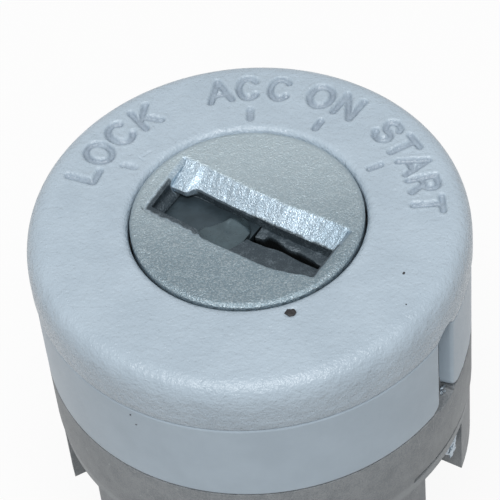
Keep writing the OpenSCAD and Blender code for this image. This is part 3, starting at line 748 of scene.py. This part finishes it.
def worn_edge_rings(edge, outward, width, drop, power):
    """Over the recess's rounded edge, up to the face."""
    return [
        np.column_stack([edge + outward * (width * share)[:, None], FACE_SINK + drop * (1 - share) ** power])
        for share in EDGE_SHARES
    ]


def face_rings(start, round_way):
    """Across the face to its rim, in low swells, and down over the worn rim and the side."""
    n = len(start)
    rim_r = PLUG_R - RIM_W
    rings = []
    height, size, seed = FACE_SWELL
    for t in np.linspace(0, 1, FACE_STEPS):
        ring = start + (round_way * rim_r - start) * t
        swell = height * grain(on_level(ring), size, seed) * min(1, 8 * t, 8 * (1 - t))
        rings.append(np.column_stack([ring, np.full(n, FACE_SINK) + swell]))
    height, size, seed = RIM_WEAR
    for t in np.linspace(0, 1, RIM_STEPS)[1:]:
        ring = round_way * (rim_r + RIM_W * t)
        wear = height * grain(on_level(ring), size, seed) * 4 * t * (1 - t)
        rings.append(np.column_stack([ring, FACE_SINK + RIM_H * t**RIM_POWER + wear]))
    return rings + [np.column_stack([round_way * PLUG_R, np.full(n, depth)]) for depth in SIDE_DEPTHS]


def plug_face(material):
    """The plug's front part in one closed skin: slot, slopes, worn edges, face and rim."""
    edge = recess_outline()
    width, drop, power = edge_rounding(edge)
    away = edge / np.linalg.norm(edge, axis=1)[:, None]
    outward = np.array([(0, 1), (1, 0), (0, -1), (-1, 0)], float)[RECESS_SIDE] + 0.35 * away
    outward /= np.linalg.norm(outward, axis=1)[:, None]
    rings = [smear(turned_in(ring)) for ring in recess_rings(edge, FACE_SINK + drop)]
    rings += worn_edge_rings(edge, outward, width, drop, power)
    rings += face_rings(edge + outward * width[:, None], away)
    shell = Shell()
    placed_rings = [shell.ring(in_lock_frame(ring)) for ring in rings]
    for a, b in zip(placed_rings, placed_rings[1:] + placed_rings[:1]):
        shell.band(a, b)
    obj = piece("plug_face", shell.points, shell.faces, 50)
    return dress(obj, "plug_body", material, "cast_plug", "plug")


def block(name, low, high, turn=0.0):
    """A closed box between two corners in millimetres, turned round the lock axis: a cutter."""
    bm = bmesh.new()
    bmesh.ops.create_cube(bm, size=1)
    size = Vector(high) - Vector(low)
    middle = (Vector(high) + Vector(low)) / 2
    for v in bm.verts:
        v.co = Vector(c * s for c, s in zip(v.co, size)) + middle
    bmesh.ops.transform(bm, matrix=Matrix.Rotation(math.radians(turn), 4, "Z"), verts=bm.verts)
    bmesh.ops.scale(bm, vec=(MM, MM, MM), verts=bm.verts)
    return in_scene(name, mesh_of(name, bm))


def cut_copy(name, node, cutters, bevel_mm=0.0):
    """A copy of a CAD node's mesh with the cutters taken off it and its edges broken."""
    mesh = frame["nodes"][node].data.copy()
    mesh.materials.clear()
    obj = in_scene(name, mesh)
    for cutter in cutters:
        cut = obj.modifiers.new("cut", "BOOLEAN")
        cut.operation, cut.solver, cut.object = "DIFFERENCE", "EXACT", cutter
    if bevel_mm:
        bevel = obj.modifiers.new("bevel", "BEVEL")
        bevel.width, bevel.segments, bevel.limit_method = bevel_mm * MM, 2, "ANGLE"
        bevel.angle_limit = math.radians(35)
    graph = bpy.context.evaluated_depsgraph_get()
    baked = bpy.data.meshes.new_from_object(obj.evaluated_get(graph))
    obj.modifiers.clear()
    obj.data = baked
    for cutter in cutters:
        bpy.data.objects.remove(cutter)
    smoothed(baked, 30)
    return obj


def plug_core(material):
    """The plug below its face, as the model has it."""
    top = block("above", (-12, -12, FACE_Z - PLUG_FACE_H), (12, 12, FACE_Z + 2))
    return dress(cut_copy("plug_core", "plug", [top]), "plug_body", material, "cast_plug", "plug")


# Key shutter: a steel flap on a hub, with a nose on it that a key pushes down

NOSE_TOP, FLAP_TOP = 1.5, WARD_DEPTH
# The nose's near and far edge, each x then y
NOSE_NEAR = ([-3.15, -0.9, -0.35, 0.2, 0.75, 1.12], [-0.44, -0.44, -0.4, -0.15, 0.35, 0.9])
NOSE_FAR = ([-3.15, -2.42, -1.83, -1.7, -1.56, -0.17, 0.63, 1.12],
            [3.55, 3.46, 3.4, 3.15, 2.98, 2.12, 1.69, 1.4])
# The sheet rolled over the shutter spring: the pin it follows, its reach and its sides
PIN_Y, PIN_DEPTH = 7.3, 3.25
COVER_R, COVER_SHEET = 0.96, 0.07
COVER_NEAR_Y, COVER_FLAT_Y = 5.7, 6.5
COVER_SIDES = (-3.12, -1.12)


def nose_depth(x, y, near, far):
    """Depth of the nose's top: nearly level on the left, falling off right of a ridge and at its edges."""
    ridge = 0.05 - 0.55 * smooth(1.6, -0.3, y)
    fall = 0.5 * smooth(0, 1.1, x - ridge)
    dish = 0.04 * np.sin((y - near) / np.maximum(far - near, 0.1) * math.pi)
    hollow = 0.2 * np.exp(-(((x + 0.85) / 0.5) ** 2) - ((y - 1.45) / 0.8) ** 2)
    welts = 0.07 * np.exp(-(((x + 2.3) / 0.35) ** 2)) + 0.06 * np.exp(-((x / 0.22) ** 2))
    points = on_level(np.column_stack([x, y]))
    lumps = 0.035 * grain(points, 0.7, 61) + 0.015 * grain(points, 0.25, 62)
    rounding = 0.16 * np.exp(-(y - near) / 0.16) + 0.1 * np.exp(-(far - y) / 0.07)
    return NOSE_TOP + fall + dish + hollow - welts + lumps + rounding


def shutter_nose(material):
    """The raised nose, with its rounded edges and a flat sole on the flap."""
    columns, rows = 56, 44
    x = np.linspace(NOSE_NEAR[0][0], NOSE_NEAR[0][-1], columns)
    near, far = np.interp(x, *NOSE_NEAR), np.interp(x, *NOSE_FAR)
    shell = Shell()
    grid = []
    for j in range(rows):
        y = near + (far - near) * j / (rows - 1)
        depth = nose_depth(x, y, near, far)
        grid.append(shell.ring(in_lock_frame(np.column_stack([x, y, depth]))))
    sole = []
    for j in (0, rows - 1):
        y = near + (far - near) * j / (rows - 1)
        sole.append(shell.ring(in_lock_frame(np.column_stack([x, y, np.full(columns, FLAP_TOP + 0.06)]))))
    for a, b in zip(grid, grid[1:]):
        shell.faces.extend((a[i], a[i + 1], b[i + 1], b[i]) for i in range(columns - 1))
    for a, b in ((sole[0], grid[0]), (grid[-1], sole[1]), (sole[1], sole[0])):
        shell.faces.extend((a[i], a[i + 1], b[i + 1], b[i]) for i in range(columns - 1))
    for i in (0, columns - 1):
        shell.faces.append((*[row[i] for row in grid], sole[1][i], sole[0][i]))
    return dress(piece("shutter_nose", shell.points, shell.faces, 45), "shutter_body", material,
                 "shutter_steel", "key_shutter")


def cover_section(r):
    """The cover's line at a distance from the pin: flat, then rolled over it."""
    rolled = [(PIN_Y + r * math.cos(a), PIN_DEPTH - r * math.sin(a)) for a in np.radians(range(90, 25, -8))]
    return [(COVER_NEAR_Y, PIN_DEPTH - r), (COVER_FLAT_Y, PIN_DEPTH - r)] + rolled


def spring_cover(material):
    """The flap's sheet, rolled over the shutter spring beside the hub."""
    line, under = cover_section(COVER_R), cover_section(COVER_R - COVER_SHEET)
    shell = Shell()
    ends = []
    for x in COVER_SIDES:
        ends.append(shell.ring(in_lock_frame([(x, y, depth) for y, depth in line + under[::-1]])))
    shell.band(*ends)
    for end in ends:
        shell.faces.extend((end[i], end[i + 1], end[-i - 2], end[-i - 1]) for i in range(len(line) - 1))
    return dress(piece("shutter_cover", shell.points, shell.faces, 40), "shutter_body", material,
                 "shutter_steel", "key_shutter")


def shutter_flap(material):
    """The key shutter below its nose, with its edges broken."""
    nose = block("nose", (-6, -6, FACE_Z - FLAP_TOP + 0.001), (6, 12, FACE_Z), -LOCK_AT)
    flap = cut_copy("shutter_flap", "key_shutter", [nose], 0.06)
    return dress(flap, "shutter_body", material, "shutter_steel", "key_shutter")


# Housing


def rough_chip(name, centre, radii, seed, body, material, slot, lean):
    """A small irregular lump, kept under the front face."""
    bm = bmesh.new()
    bmesh.ops.create_icosphere(bm, subdivisions=3, radius=1)
    points = np.array([v.co for v in bm.verts])
    lumps = 1 + 0.5 * grain(points, 0.9, seed) + 0.3 * grain(points, 0.4, seed + 1)
    turn = Matrix.Rotation(lean, 3, "Z")
    for v, k in zip(bm.verts, lumps):
        v.co = turn @ Vector(c * r * k for c, r in zip(v.co, radii))
        v.co = v.co + Vector(centre)
        v.co.z = min(v.co.z, HIGHEST_Z)
        v.co *= MM
    return dress(in_scene(name, mesh_of(name, bm)), body, material, slot)


# Gouges under the skirt's notches, cut as if at the ACC mark
STAKE_LOW, STAKE_HIGH = (-1.35, 17.9, 47.45), (1.35, 20, 50)
# The groove under the collar's edge: clock angle, heights, length and how much deeper it gets
GROOVE_AT, GROOVE_Z, GROOVE_LONG, GROOVE_MORE = 118.4, (41.5, 41.66), 10.5, 0.6


def wedge(name, at, low_z, high_z, wide, thick):
    """A thin cutter lying under the collar's edge, thicker at its far end."""
    cut = block(name, (-wide / 2, 18.2, low_z), (wide / 2, 20, high_z), -at)
    for v in cut.data.vertices:
        along = v.co.x * math.cos(math.radians(-at)) + v.co.y * math.sin(math.radians(-at))
        if v.co.z / MM < (low_z + high_z) / 2:
            v.co.z -= thick * MM * float(smooth(-wide / 2, wide / 2, along / MM))
    return cut


def housing(material):
    """The cast body, gouged under the notches and grooved under the collar's edge."""
    cutters = [block(f"stake_{at:.0f}", STAKE_LOW, STAKE_HIGH, -at) for at in NOTCH_AT]
    cutters.append(wedge("edge_groove", GROOVE_AT, *GROOVE_Z, GROOVE_LONG, GROOVE_MORE))
    obj = cut_copy("housing_shell", "housing", cutters, 0.1)
    return dress(obj, "lock_body", material, "cast_housing", "housing")


# Broken bright metal under the right notch and in the side pocket:
# clock angle, distance from the axis, height, size and how tall for its size
BROKEN_BITS = (
    (116.3, 18.1, 47.62, 0.22, 1.0), (117.6, 18.3, 47.6, 0.18, 0.9), (116.6, 18.45, 47.6, 0.14, 0.9),
    (115.2, 18.2, 47.6, 0.14, 1.2),
    (110.6, 17.75, 37.7, 1.25, 1.35),
    (111.2, 18.5, 38.7, 0.34, 0.9), (113.0, 18.4, 38.5, 0.32, 1.1), (114.0, 18.2, 38.0, 0.34, 0.9),
    (111.0, 18.45, 37.7, 0.34, 1.2), (112.7, 18.4, 37.3, 0.34, 1.0), (110.4, 18.4, 36.8, 0.3, 1.2),
    (111.9, 18.3, 36.4, 0.3, 1.0),
)


def broken_bits(material):
    """A rough lump on the pocket's wall and small bits on it and in the notch's gouge."""
    for i, (angle, r, z, size, tall) in enumerate(BROKEN_BITS):
        x, y = clock(angle, r)
        rough_chip(f"broken_bit_{i + 1}", (x, y, z), (size, size * 0.6, size * tall), 70 + i, "lock_body",
                   material, "cast_housing", math.radians(-angle))


def dirt(material):
    """The lump of dirt by the plug, and specks on the cap and its skirt."""
    x, y = clock(*DIRT_LUMP_AT)
    rough_chip("dirt_lump", (x, y, FACE_Z - 0.2), DIRT_LUMP_SIZE, 41, "lock_body", material,
               "painted_cap", 0.4)
    for i, (angle, r, z, size) in enumerate(DIRT_SPECKS):
        x, y = clock(angle, r)
        rough_chip(f"dirt_speck_{i + 1}", (x, y, z), (size, size * 0.8, 0.05), 50 + i, "lock_body", material,
                   "painted_cap", math.radians(-angle))


# Materials


def node_tree(name):
    """A new material, its tree and its shader."""
    material = bpy.data.materials.new(name)
    material.use_nodes = True
    tree = material.node_tree
    return material, tree, tree.nodes["Principled BSDF"]


def srgb(r, g, b):
    """A colour as a screen shows it, 0 to 255, in the linear values that a shader takes."""
    out = []
    for c in (r, g, b):
        c /= 255
        out.append(c / 12.92 if c <= 0.04045 else ((c + 0.055) / 1.055) ** 2.4)
    return (*out, 1.0)


def add(tree, kind, **settings):
    """A new node with those settings."""
    node = tree.nodes.new(kind)
    for key, value in settings.items():
        setattr(node, key, value)
    return node


def plug_in(tree, socket, value):
    """Links a socket to another, or sets it to a plain value."""
    if isinstance(value, bpy.types.NodeSocket):
        tree.links.new(value, socket)
    else:
        socket.default_value = value


def calc(tree, operation, a, b=0.0):
    """A sum worked out on two values or sockets."""
    node = add(tree, "ShaderNodeMath", operation=operation)
    plug_in(tree, node.inputs[0], a)
    plug_in(tree, node.inputs[1], b)
    return node.outputs[0]


def times(tree, *masks):
    """All of them multiplied together."""
    out = masks[0]
    for mask in masks[1:]:
        out = calc(tree, "MULTIPLY", out, mask)
    return out


def ramp(tree, value, from_lo, from_hi, to_lo=0.0, to_hi=1.0):
    """The value, eased from one span onto another."""
    node = add(tree, "ShaderNodeMapRange", interpolation_type="SMOOTHSTEP")
    for label, number in zip(("From Min", "From Max", "To Min", "To Max"), (from_lo, from_hi, to_lo, to_hi)):
        node.inputs[label].default_value = number
    tree.links.new(value, node.inputs["Value"])
    return node.outputs["Result"]


def mix_colour(tree, mask, a, b):
    """Colour a where the mask is 0, and b where it is 1."""
    node = add(tree, "ShaderNodeMix", data_type="RGBA")
    plug_in(tree, node.inputs[0], mask)
    plug_in(tree, node.inputs[6], a)
    plug_in(tree, node.inputs[7], b)
    return node.outputs[2]


def object_place(tree):
    """The place on the object, as the object's own frame has it."""
    return add(tree, "ShaderNodeTexCoord").outputs["Object"]


def split_mm(tree, vector):
    """A vector's three values, in millimetres."""
    place = add(tree, "ShaderNodeSeparateXYZ")
    tree.links.new(vector, place.inputs[0])
    return [times(tree, place.outputs[i], 1 / MM) for i in range(3)]


def noise_of(tree, size_mm, detail, rough, vector=None):
    """Noise with lumps of that size, at a vector or at the place on the object."""
    node = add(tree, "ShaderNodeTexNoise", noise_dimensions="3D")
    node.inputs["Detail"].default_value = detail
    node.inputs["Roughness"].default_value = rough
    tree.links.new(calc(tree, "DIVIDE", 1 / MM, size_mm), node.inputs["Scale"])
    tree.links.new(vector or object_place(tree), node.inputs["Vector"])
    return node.outputs["Fac"]


def group(name, inputs, outputs):
    """A new shader group: its tree, and its own inputs and outputs by name."""
    tree = bpy.data.node_groups.new(name, "ShaderNodeTree")
    for label, default in inputs:
        socket = tree.interface.new_socket(label, in_out="INPUT", socket_type="NodeSocketFloat")
        socket.default_value = default
    for label in outputs:
        tree.interface.new_socket(label, in_out="OUTPUT", socket_type="NodeSocketFloat")
    return tree, add(tree, "NodeGroupInput").outputs, add(tree, "NodeGroupOutput").inputs


def placed(tree, shared, **values):
    """The outputs of a shared group put in a material, with its inputs set."""
    node = add(tree, "ShaderNodeGroup", node_tree=shared)
    for label, value in values.items():
        node.inputs[label.replace("_", " ")].default_value = value
    return node.outputs


def cast_skin_group():
    """The skin of cast or moulded metal: broad blotches, fine grains and the height of both."""
    tree, given, out = group(
        "cast skin", [("Blotch mm", 2.0), ("Grain mm", 0.15), ("Blotch height", 0.3)],
        ["Blotch", "Grain", "Height"],
    )
    blotch = noise_of(tree, given["Blotch mm"], 3.0, 0.6)
    fine = noise_of(tree, given["Grain mm"], 2.0, 0.65)
    tree.links.new(blotch, out["Blotch"])
    tree.links.new(fine, out["Grain"])
    broad = times(tree, blotch, given["Blotch height"])
    tree.links.new(calc(tree, "ADD", broad, fine), out["Height"])
    return tree


def scratch_group():
    """Long thin handling scratches as a mask."""
    tree, given, out = group("handling scratches", [("Spread mm", 3.0)], ["Mask"])
    place = object_place(tree)
    masks = []
    for turn, seed in ((0.5, 3.0), (2.1, 7.0)):
        spin = add(tree, "ShaderNodeVectorRotate", rotation_type="Z_AXIS")
        spin.inputs["Angle"].default_value = turn
        tree.links.new(place, spin.inputs["Vector"])
        stretch = add(tree, "ShaderNodeMapping")
        stretch.inputs["Scale"].default_value = (1.0, 14.0, 1.0)
        stretch.inputs["Location"].default_value = (seed, seed, 0)
        tree.links.new(spin.outputs["Vector"], stretch.inputs["Vector"])
        lines = noise_of(tree, given["Spread mm"], 1.0, 0.5, stretch.outputs["Vector"])
        off = calc(tree, "ABSOLUTE", calc(tree, "SUBTRACT", lines, 0.5))
        masks.append(ramp(tree, off, 0.0, 0.006, 1.0, 0.0))
    tree.links.new(calc(tree, "MAXIMUM", masks[0], masks[1]), out["Mask"])
    return tree


CAST_SKIN = cast_skin_group()
SCRATCHES_ON = scratch_group()


def bump(tree, shader, height, distance_mm):
    """Raises the surface's look by a height, in steps of that distance."""
    node = add(tree, "ShaderNodeBump")
    node.inputs["Distance"].default_value = distance_mm * MM
    tree.links.new(height, node.inputs["Height"])
    tree.links.new(node.outputs["Normal"], shader.inputs["Normal"])


def axis_place(tree):
    """Height over the rear face and distance from the axis, in millimetres."""
    x, y, z = split_mm(tree, object_place(tree))
    square = calc(tree, "ADD", times(tree, x, x), times(tree, y, y))
    return z, calc(tree, "SQRT", square)


def cap_paint():
    """Satin blue-grey paint: leathery moulded grain on the head, plain on the skirt, painted shade in the
    pressed marks.
    """
    material, tree, shader = node_tree("cap_paint")
    skin = placed(tree, CAST_SKIN, Blotch_mm=0.75, Grain_mm=0.26, Blotch_height=2.2)
    wide = placed(tree, CAST_SKIN, Blotch_mm=4.5, Grain_mm=0.9)
    z, r = axis_place(tree)
    head = ramp(tree, z, HEAD_LINE_Z - 0.15, HEAD_LINE_Z + 0.1)
    sunk = ramp(tree, z, CAP_TOP_Z - 0.02, CAP_TOP_Z - 0.3)
    on_flat = times(tree, ramp(tree, r, 11.1, 11.3), ramp(tree, r, 17.3, 17.1))
    # Painted shade: the words, ticks and scratches are coloured darker, as if shade lay in their grooves.
    mark_shade = times(tree, sunk, on_flat, ramp(tree, wide["Grain"], 0.25, 0.75, 0.55, 1.0))
    paint = mix_colour(tree, ramp(tree, wide["Blotch"], 0.3, 0.7), srgb(178, 194, 207), srgb(185, 201, 214))
    paint = mix_colour(tree, mark_shade, paint, srgb(146, 160, 174))
    tree.links.new(paint, shader.inputs["Base Color"])
    gloss = ramp(tree, skin["Grain"], 0.3, 0.7, 0.24, 0.34)
    plain = times(tree, calc(tree, "SUBTRACT", 1.0, head), 0.1)
    tree.links.new(calc(tree, "ADD", gloss, plain), shader.inputs["Roughness"])
    depth = ramp(tree, head, 0.0, 1.0, 0.08, 1.0)
    bump(tree, shader, times(tree, skin["Height"], depth), 0.075)
    return material


# Heights between which the collar's bevel is painted lighter as a highlight: from none to full, and from
# full to none
BEVEL_HIGHLIGHT_Z = (39.8, 40.2, 40.9, 41.3)


def cast_metal(name, low, high, grain_mm, rough, metallic, depth):
    """Die-cast zinc, dull and mottled, with handling scratches and a painted highlight on the bevel."""
    material, tree, shader = node_tree(name)
    skin = placed(tree, CAST_SKIN, Blotch_mm=1.7, Grain_mm=grain_mm, Blotch_height=0.6)
    lines = placed(tree, SCRATCHES_ON, Spread_mm=3.0)["Mask"]
    tone = mix_colour(tree, ramp(tree, skin["Height"], 0.55, 1.0), low, high)
    z = axis_place(tree)[0]
    rise, full, still, gone = BEVEL_HIGHLIGHT_Z
    # Painted highlight: the collar's bevel is coloured lighter where light would catch it.
    bevel = times(tree, ramp(tree, z, rise, full), ramp(tree, z, gone, still, 0.0, 0.5))
    tone = mix_colour(tree, bevel, tone, srgb(160, 165, 168))
    tone = mix_colour(tree, times(tree, lines, 0.35), tone, srgb(190, 194, 197))
    tree.links.new(tone, shader.inputs["Base Color"])
    gloss = ramp(tree, skin["Grain"], 0.3, 0.7, rough - 0.08, rough + 0.1)
    tree.links.new(gloss, shader.inputs["Roughness"])
    shader.inputs["Metallic"].default_value = metallic
    bump(tree, shader, calc(tree, "SUBTRACT", skin["Height"], times(tree, lines, 0.4)), depth)
    return material


def plug_place(tree):
    """Place in the plug's own frame, in millimetres, with the depth under the front face."""
    turn = add(tree, "ShaderNodeVectorRotate", rotation_type="Z_AXIS")
    turn.inputs["Angle"].default_value = math.radians(LOCK_AT)
    tree.links.new(object_place(tree), turn.inputs["Vector"])
    x, y, z = split_mm(tree, turn.outputs["Vector"])
    return x, y, calc(tree, "SUBTRACT", FACE_Z, z)


def recess_masks(tree, x, y, depth, ragged):
    """Where keys drag, where the recess's deeper parts and left slope are painted with shade, and where the
    deep slot is painted near black as shade.
    """
    off_x, off_y = calc(tree, "ABSOLUTE", calc(tree, "ADD", x, 0.2)), calc(tree, "ABSOLUTE", y)
    in_recess = times(
        tree, ramp(tree, off_x, 4.3, 4.15), ramp(tree, off_y, 8.75, 8.65), ramp(tree, depth, 0.05, 0.12),
    )
    left = ramp(tree, calc(tree, "ADD", x, ragged), 1.32, 1.12)
    lobe = times(tree, ramp(tree, y, 6.1, 6.4), ramp(tree, x, 0.3, 0.5), ramp(tree, depth, 2.0, 1.8))
    # Painted shade: deeper than 1.45 mm and on the left slope, the recess is marked to be coloured dark.
    below = ramp(tree, depth, 1.45, 1.7)
    recess_shade = times(tree, calc(tree, "MAXIMUM", left, below), calc(tree, "SUBTRACT", 1.0, lobe),
                   ramp(tree, depth, 0.07, 0.2), in_recess)
    dragged = times(tree, in_recess, calc(tree, "SUBTRACT", 1.0, recess_shade))
    return dragged, recess_shade, times(tree, ramp(tree, depth, 2.4, 2.9), in_recess)


def plug_face_colour(tree, x, y, ragged, specked):
    """Brighter towards the ACC side and darker away from it, a painted reflection gradient broken up by
    noise, with bright grains and scratches.
    """
    lines = placed(tree, SCRATCHES_ON, Spread_mm=2.2)["Mask"]
    toward = calc(tree, "ADD", times(tree, x, 0.085), times(tree, y, 0.06))
    # Painted reflection: despite its name, worn here is a light-to-dark gradient across the face that stands
    # in for reflected light.
    worn = ramp(tree, calc(tree, "ADD", toward, times(tree, ragged, 0.6)), -0.75, 0.95)
    face = mix_colour(tree, worn, srgb(120, 138, 148), srgb(172, 188, 196))
    face = mix_colour(tree, times(tree, specked, 0.38), face, srgb(208, 218, 222))
    return mix_colour(tree, times(tree, lines, 0.3), face, srgb(210, 218, 222))


def plug_metal():
    """The plug's cast metal: sparkling on the face with a painted reflection gradient, paler where keys
    drag, painted shade deep in the recess and near black painted shade in the slot.
    """
    material, tree, shader = node_tree("plug_metal")
    skin = placed(tree, CAST_SKIN, Blotch_mm=0.8, Grain_mm=0.14, Blotch_height=0.8)
    patch = placed(tree, CAST_SKIN, Blotch_mm=3.4, Grain_mm=0.7)
    ragged = times(tree, calc(tree, "SUBTRACT", patch["Grain"], 0.5), 0.5)
    specked = ramp(tree, skin["Grain"], 0.42, 0.72)
    x, y, depth = plug_place(tree)
    dragged, recess_shade, slot_shade = recess_masks(tree, x, y, depth, ragged)
    slope = mix_colour(tree, specked, srgb(154, 173, 187), srgb(204, 219, 230))
    slope = mix_colour(tree, ramp(tree, y, -3.5, -8.0, 0.0, 0.6), slope, srgb(128, 148, 162))
    tone = mix_colour(tree, dragged, plug_face_colour(tree, x, y, ragged, specked), slope)
    # Painted shade: these dark tones colour the recess's deeper parts and its left slope, where shade falls.
    slot = mix_colour(tree, ramp(tree, skin["Height"], 0.86, 1.15), srgb(56, 68, 76), srgb(98, 110, 118))
    tone = mix_colour(tree, recess_shade, tone, slot)
    # Painted shade: the deep slot is coloured near black.
    tree.links.new(mix_colour(tree, slot_shade, tone, srgb(22, 26, 28)), shader.inputs["Base Color"])
    gloss = ramp(tree, skin["Grain"], 0.3, 0.7, 0.42, 0.28)
    rough = calc(tree, "ADD", gloss, times(tree, recess_shade, 0.12))
    tree.links.new(rough, shader.inputs["Roughness"])
    metallic = calc(tree, "SUBTRACT", 0.62, times(tree, recess_shade, 0.35))
    tree.links.new(metallic, shader.inputs["Metallic"])
    height = calc(tree, "SUBTRACT", 1.0, times(tree, dragged, 0.25))
    bump(tree, shader, times(tree, skin["Height"], height), 0.085)
    return material


def plain_metal(name, colour, rough, metallic=1.0, grain_mm=0.12):
    """A plain surface in two near tones, with fine grain."""
    material, tree, shader = node_tree(name)
    skin = placed(tree, CAST_SKIN, Blotch_mm=1.2, Grain_mm=grain_mm)
    dark = tuple(c * 0.8 for c in colour[:3]) + (1.0,)
    tree.links.new(mix_colour(tree, ramp(tree, skin["Blotch"], 0.35, 0.65), dark, colour),
                   shader.inputs["Base Color"])
    gloss = ramp(tree, skin["Grain"], 0.3, 0.7, rough - 0.05, rough + 0.08)
    tree.links.new(gloss, shader.inputs["Roughness"])
    shader.inputs["Metallic"].default_value = metallic
    bump(tree, shader, skin["Height"], 0.008)
    return material


MATERIALS = {
    "painted_cap": cap_paint(),
    "cast_housing": cast_metal("cast_housing", srgb(118, 123, 127), srgb(146, 150, 153), grain_mm=0.16,
                               rough=0.5, metallic=0.35, depth=0.04),
    "cast_plug": plug_metal(),
    "shutter_steel": plain_metal("shutter_steel", srgb(66, 80, 88), 0.42, 0.5, 0.3),
    "bright_steel": plain_metal("bright_steel", srgb(190, 192, 196), 0.28),
    "dark_steel": plain_metal("dark_steel", srgb(96, 98, 102), 0.42),
    "spring_wire": plain_metal("spring_wire", srgb(150, 152, 156), 0.34),
    "wafer_brass": plain_metal("wafer_brass", srgb(204, 176, 104), 0.34),
    "seal_rubber": plain_metal("seal_rubber", srgb(38, 38, 40), 0.7, 0.0),
}
NOSE_STEEL = plain_metal("greasy_nose", srgb(80, 96, 103), 0.3, 0.5, 0.4)
RAW_METAL = plain_metal("broken_metal", srgb(186, 198, 208), 0.3, 0.8, 0.2)
DIRT = plain_metal("caked_dirt", srgb(34, 33, 36), 0.6, 0.0, 0.1)


def dress_cad_nodes():
    """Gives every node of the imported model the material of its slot."""
    for part in frame["record"]["subparts"]:
        node = frame["nodes"][part["node"]]
        node.data.materials.clear()
        node.data.materials.append(MATERIALS[part["material_slot"]])


# Stage, in metres

FLOOR_HALF = 3.0
FLOOR_FOR_LIGHT, FLOOR_FOR_CAMERA = (0.4, 0.4, 0.4, 1), (0.95, 0.95, 0.95, 1)
# Share of plain white that the camera sees on the floor, over its shadow
FLOOR_WHITE = 0.9
AMBIENT = 0.3


def seen_by_camera(tree):
    """1 for what the camera sees, straight or in a reflection, and 0 for light."""
    paths = add(tree, "ShaderNodeLightPath")
    return calc(tree, "MAXIMUM", paths.outputs["Is Camera Ray"], paths.outputs["Is Glossy Ray"])


def floor():
    """A white floor that keeps the object's shadow, and throws back little light."""
    mesh = bpy.data.meshes.new("floor")
    corners = [(x * FLOOR_HALF, y * FLOOR_HALF, 0) for x, y in ((-1, -1), (1, -1), (1, 1), (-1, 1))]
    mesh.from_pydata(corners, [], [(0, 1, 2, 3)])
    obj = in_scene("floor", mesh)
    material, tree, shader = node_tree("floor_white")
    seen = seen_by_camera(tree)
    tone = mix_colour(tree, seen, FLOOR_FOR_LIGHT, FLOOR_FOR_CAMERA)
    tree.links.new(tone, shader.inputs["Base Color"])
    shader.inputs["Roughness"].default_value = 0.9
    glow = add(tree, "ShaderNodeEmission")
    mix = add(tree, "ShaderNodeMixShader")
    tree.links.new(times(tree, seen, FLOOR_WHITE), mix.inputs["Fac"])
    tree.links.new(shader.outputs["BSDF"], mix.inputs[1])
    tree.links.new(glow.outputs["Emission"], mix.inputs[2])
    tree.links.new(mix.outputs["Shader"], tree.nodes["Material Output"].inputs["Surface"])
    obj.data.materials.append(material)


def world():
    """White behind the object, and a plain soft light all round."""
    scene = bpy.context.scene
    scene.world = bpy.data.worlds.new("studio")
    scene.world.use_nodes = True
    tree = scene.world.node_tree
    tree.nodes.clear()
    seen = seen_by_camera(tree)
    ambient, white = add(tree, "ShaderNodeBackground"), add(tree, "ShaderNodeBackground")
    ambient.inputs["Strength"].default_value = AMBIENT
    mix, out = add(tree, "ShaderNodeMixShader"), add(tree, "ShaderNodeOutputWorld")
    tree.links.new(seen, mix.inputs["Fac"])
    tree.links.new(ambient.outputs["Background"], mix.inputs[1])
    tree.links.new(white.outputs["Background"], mix.inputs[2])
    tree.links.new(mix.outputs["Shader"], out.inputs["Surface"])


def soft_lamp(name, size, strength, azimuth, elevation, distance):
    """A square lamp aimed at the front face. Azimuth 0 is the camera's side, and turns to the right."""
    data = bpy.data.lights.new(name, "AREA")
    data.size = size
    data.energy = strength
    obj = in_scene(name, data)
    a, e = math.radians(azimuth), math.radians(elevation)
    away = Vector((math.sin(a) * math.cos(e), -math.cos(a) * math.cos(e), math.sin(e)))
    obj.location = Vector((0, 0, FACE_Z * MM)) + away * distance
    obj.rotation_mode = "QUATERNION"
    obj.rotation_quaternion = away.to_track_quat("Z", "Y")


def camera():
    """The photograph's view: lens, and the front face's place in front of it."""
    data = bpy.data.cameras.new("camera")
    data.sensor_width = 36
    data.sensor_fit = "HORIZONTAL"
    data.lens = LENS_PX * data.sensor_width / IMAGE_SIZE
    data.clip_start, data.clip_end = 0.01, 20
    obj = in_scene("camera", data)
    e, roll, turn = (math.radians(x) for x in (VIEW_ELEVATION, VIEW_ROLL, VIEW_TURN))
    forward = Vector((0, math.cos(e), -math.sin(e)))
    level = Vector((1, 0, 0))
    down = forward.cross(level)
    right, down = (
        level * math.cos(roll) - down * math.sin(roll), level * math.sin(roll) + down * math.cos(roll)
    )
    spin = Matrix.Rotation(turn, 3, "Z")
    right, down, forward = (spin @ v for v in (right, down, forward))
    x, y, z = (v * MM for v in FACE_IN_VIEW)
    place = Vector((0, 0, FACE_Z * MM)) - right * x - down * y - forward * z
    obj.matrix_world = Matrix.Translation(place) @ Matrix((right, -down, -forward)).transposed().to_4x4()
    bpy.context.scene.camera = obj


dress_cad_nodes()
bezel_cap(MATERIALS["painted_cap"])
plug_face(MATERIALS["cast_plug"])
plug_core(MATERIALS["cast_plug"])
shutter_flap(MATERIALS["shutter_steel"])
shutter_nose(NOSE_STEEL)
spring_cover(MATERIALS["shutter_steel"])
housing(MATERIALS["cast_housing"])
broken_bits(RAW_METAL)
dirt(DIRT)
floor()
world()
camera()
soft_lamp("key", size=0.5, strength=5.6, azimuth=0, elevation=66, distance=0.8)

bpy.context.scene.view_settings.view_transform = "Standard"
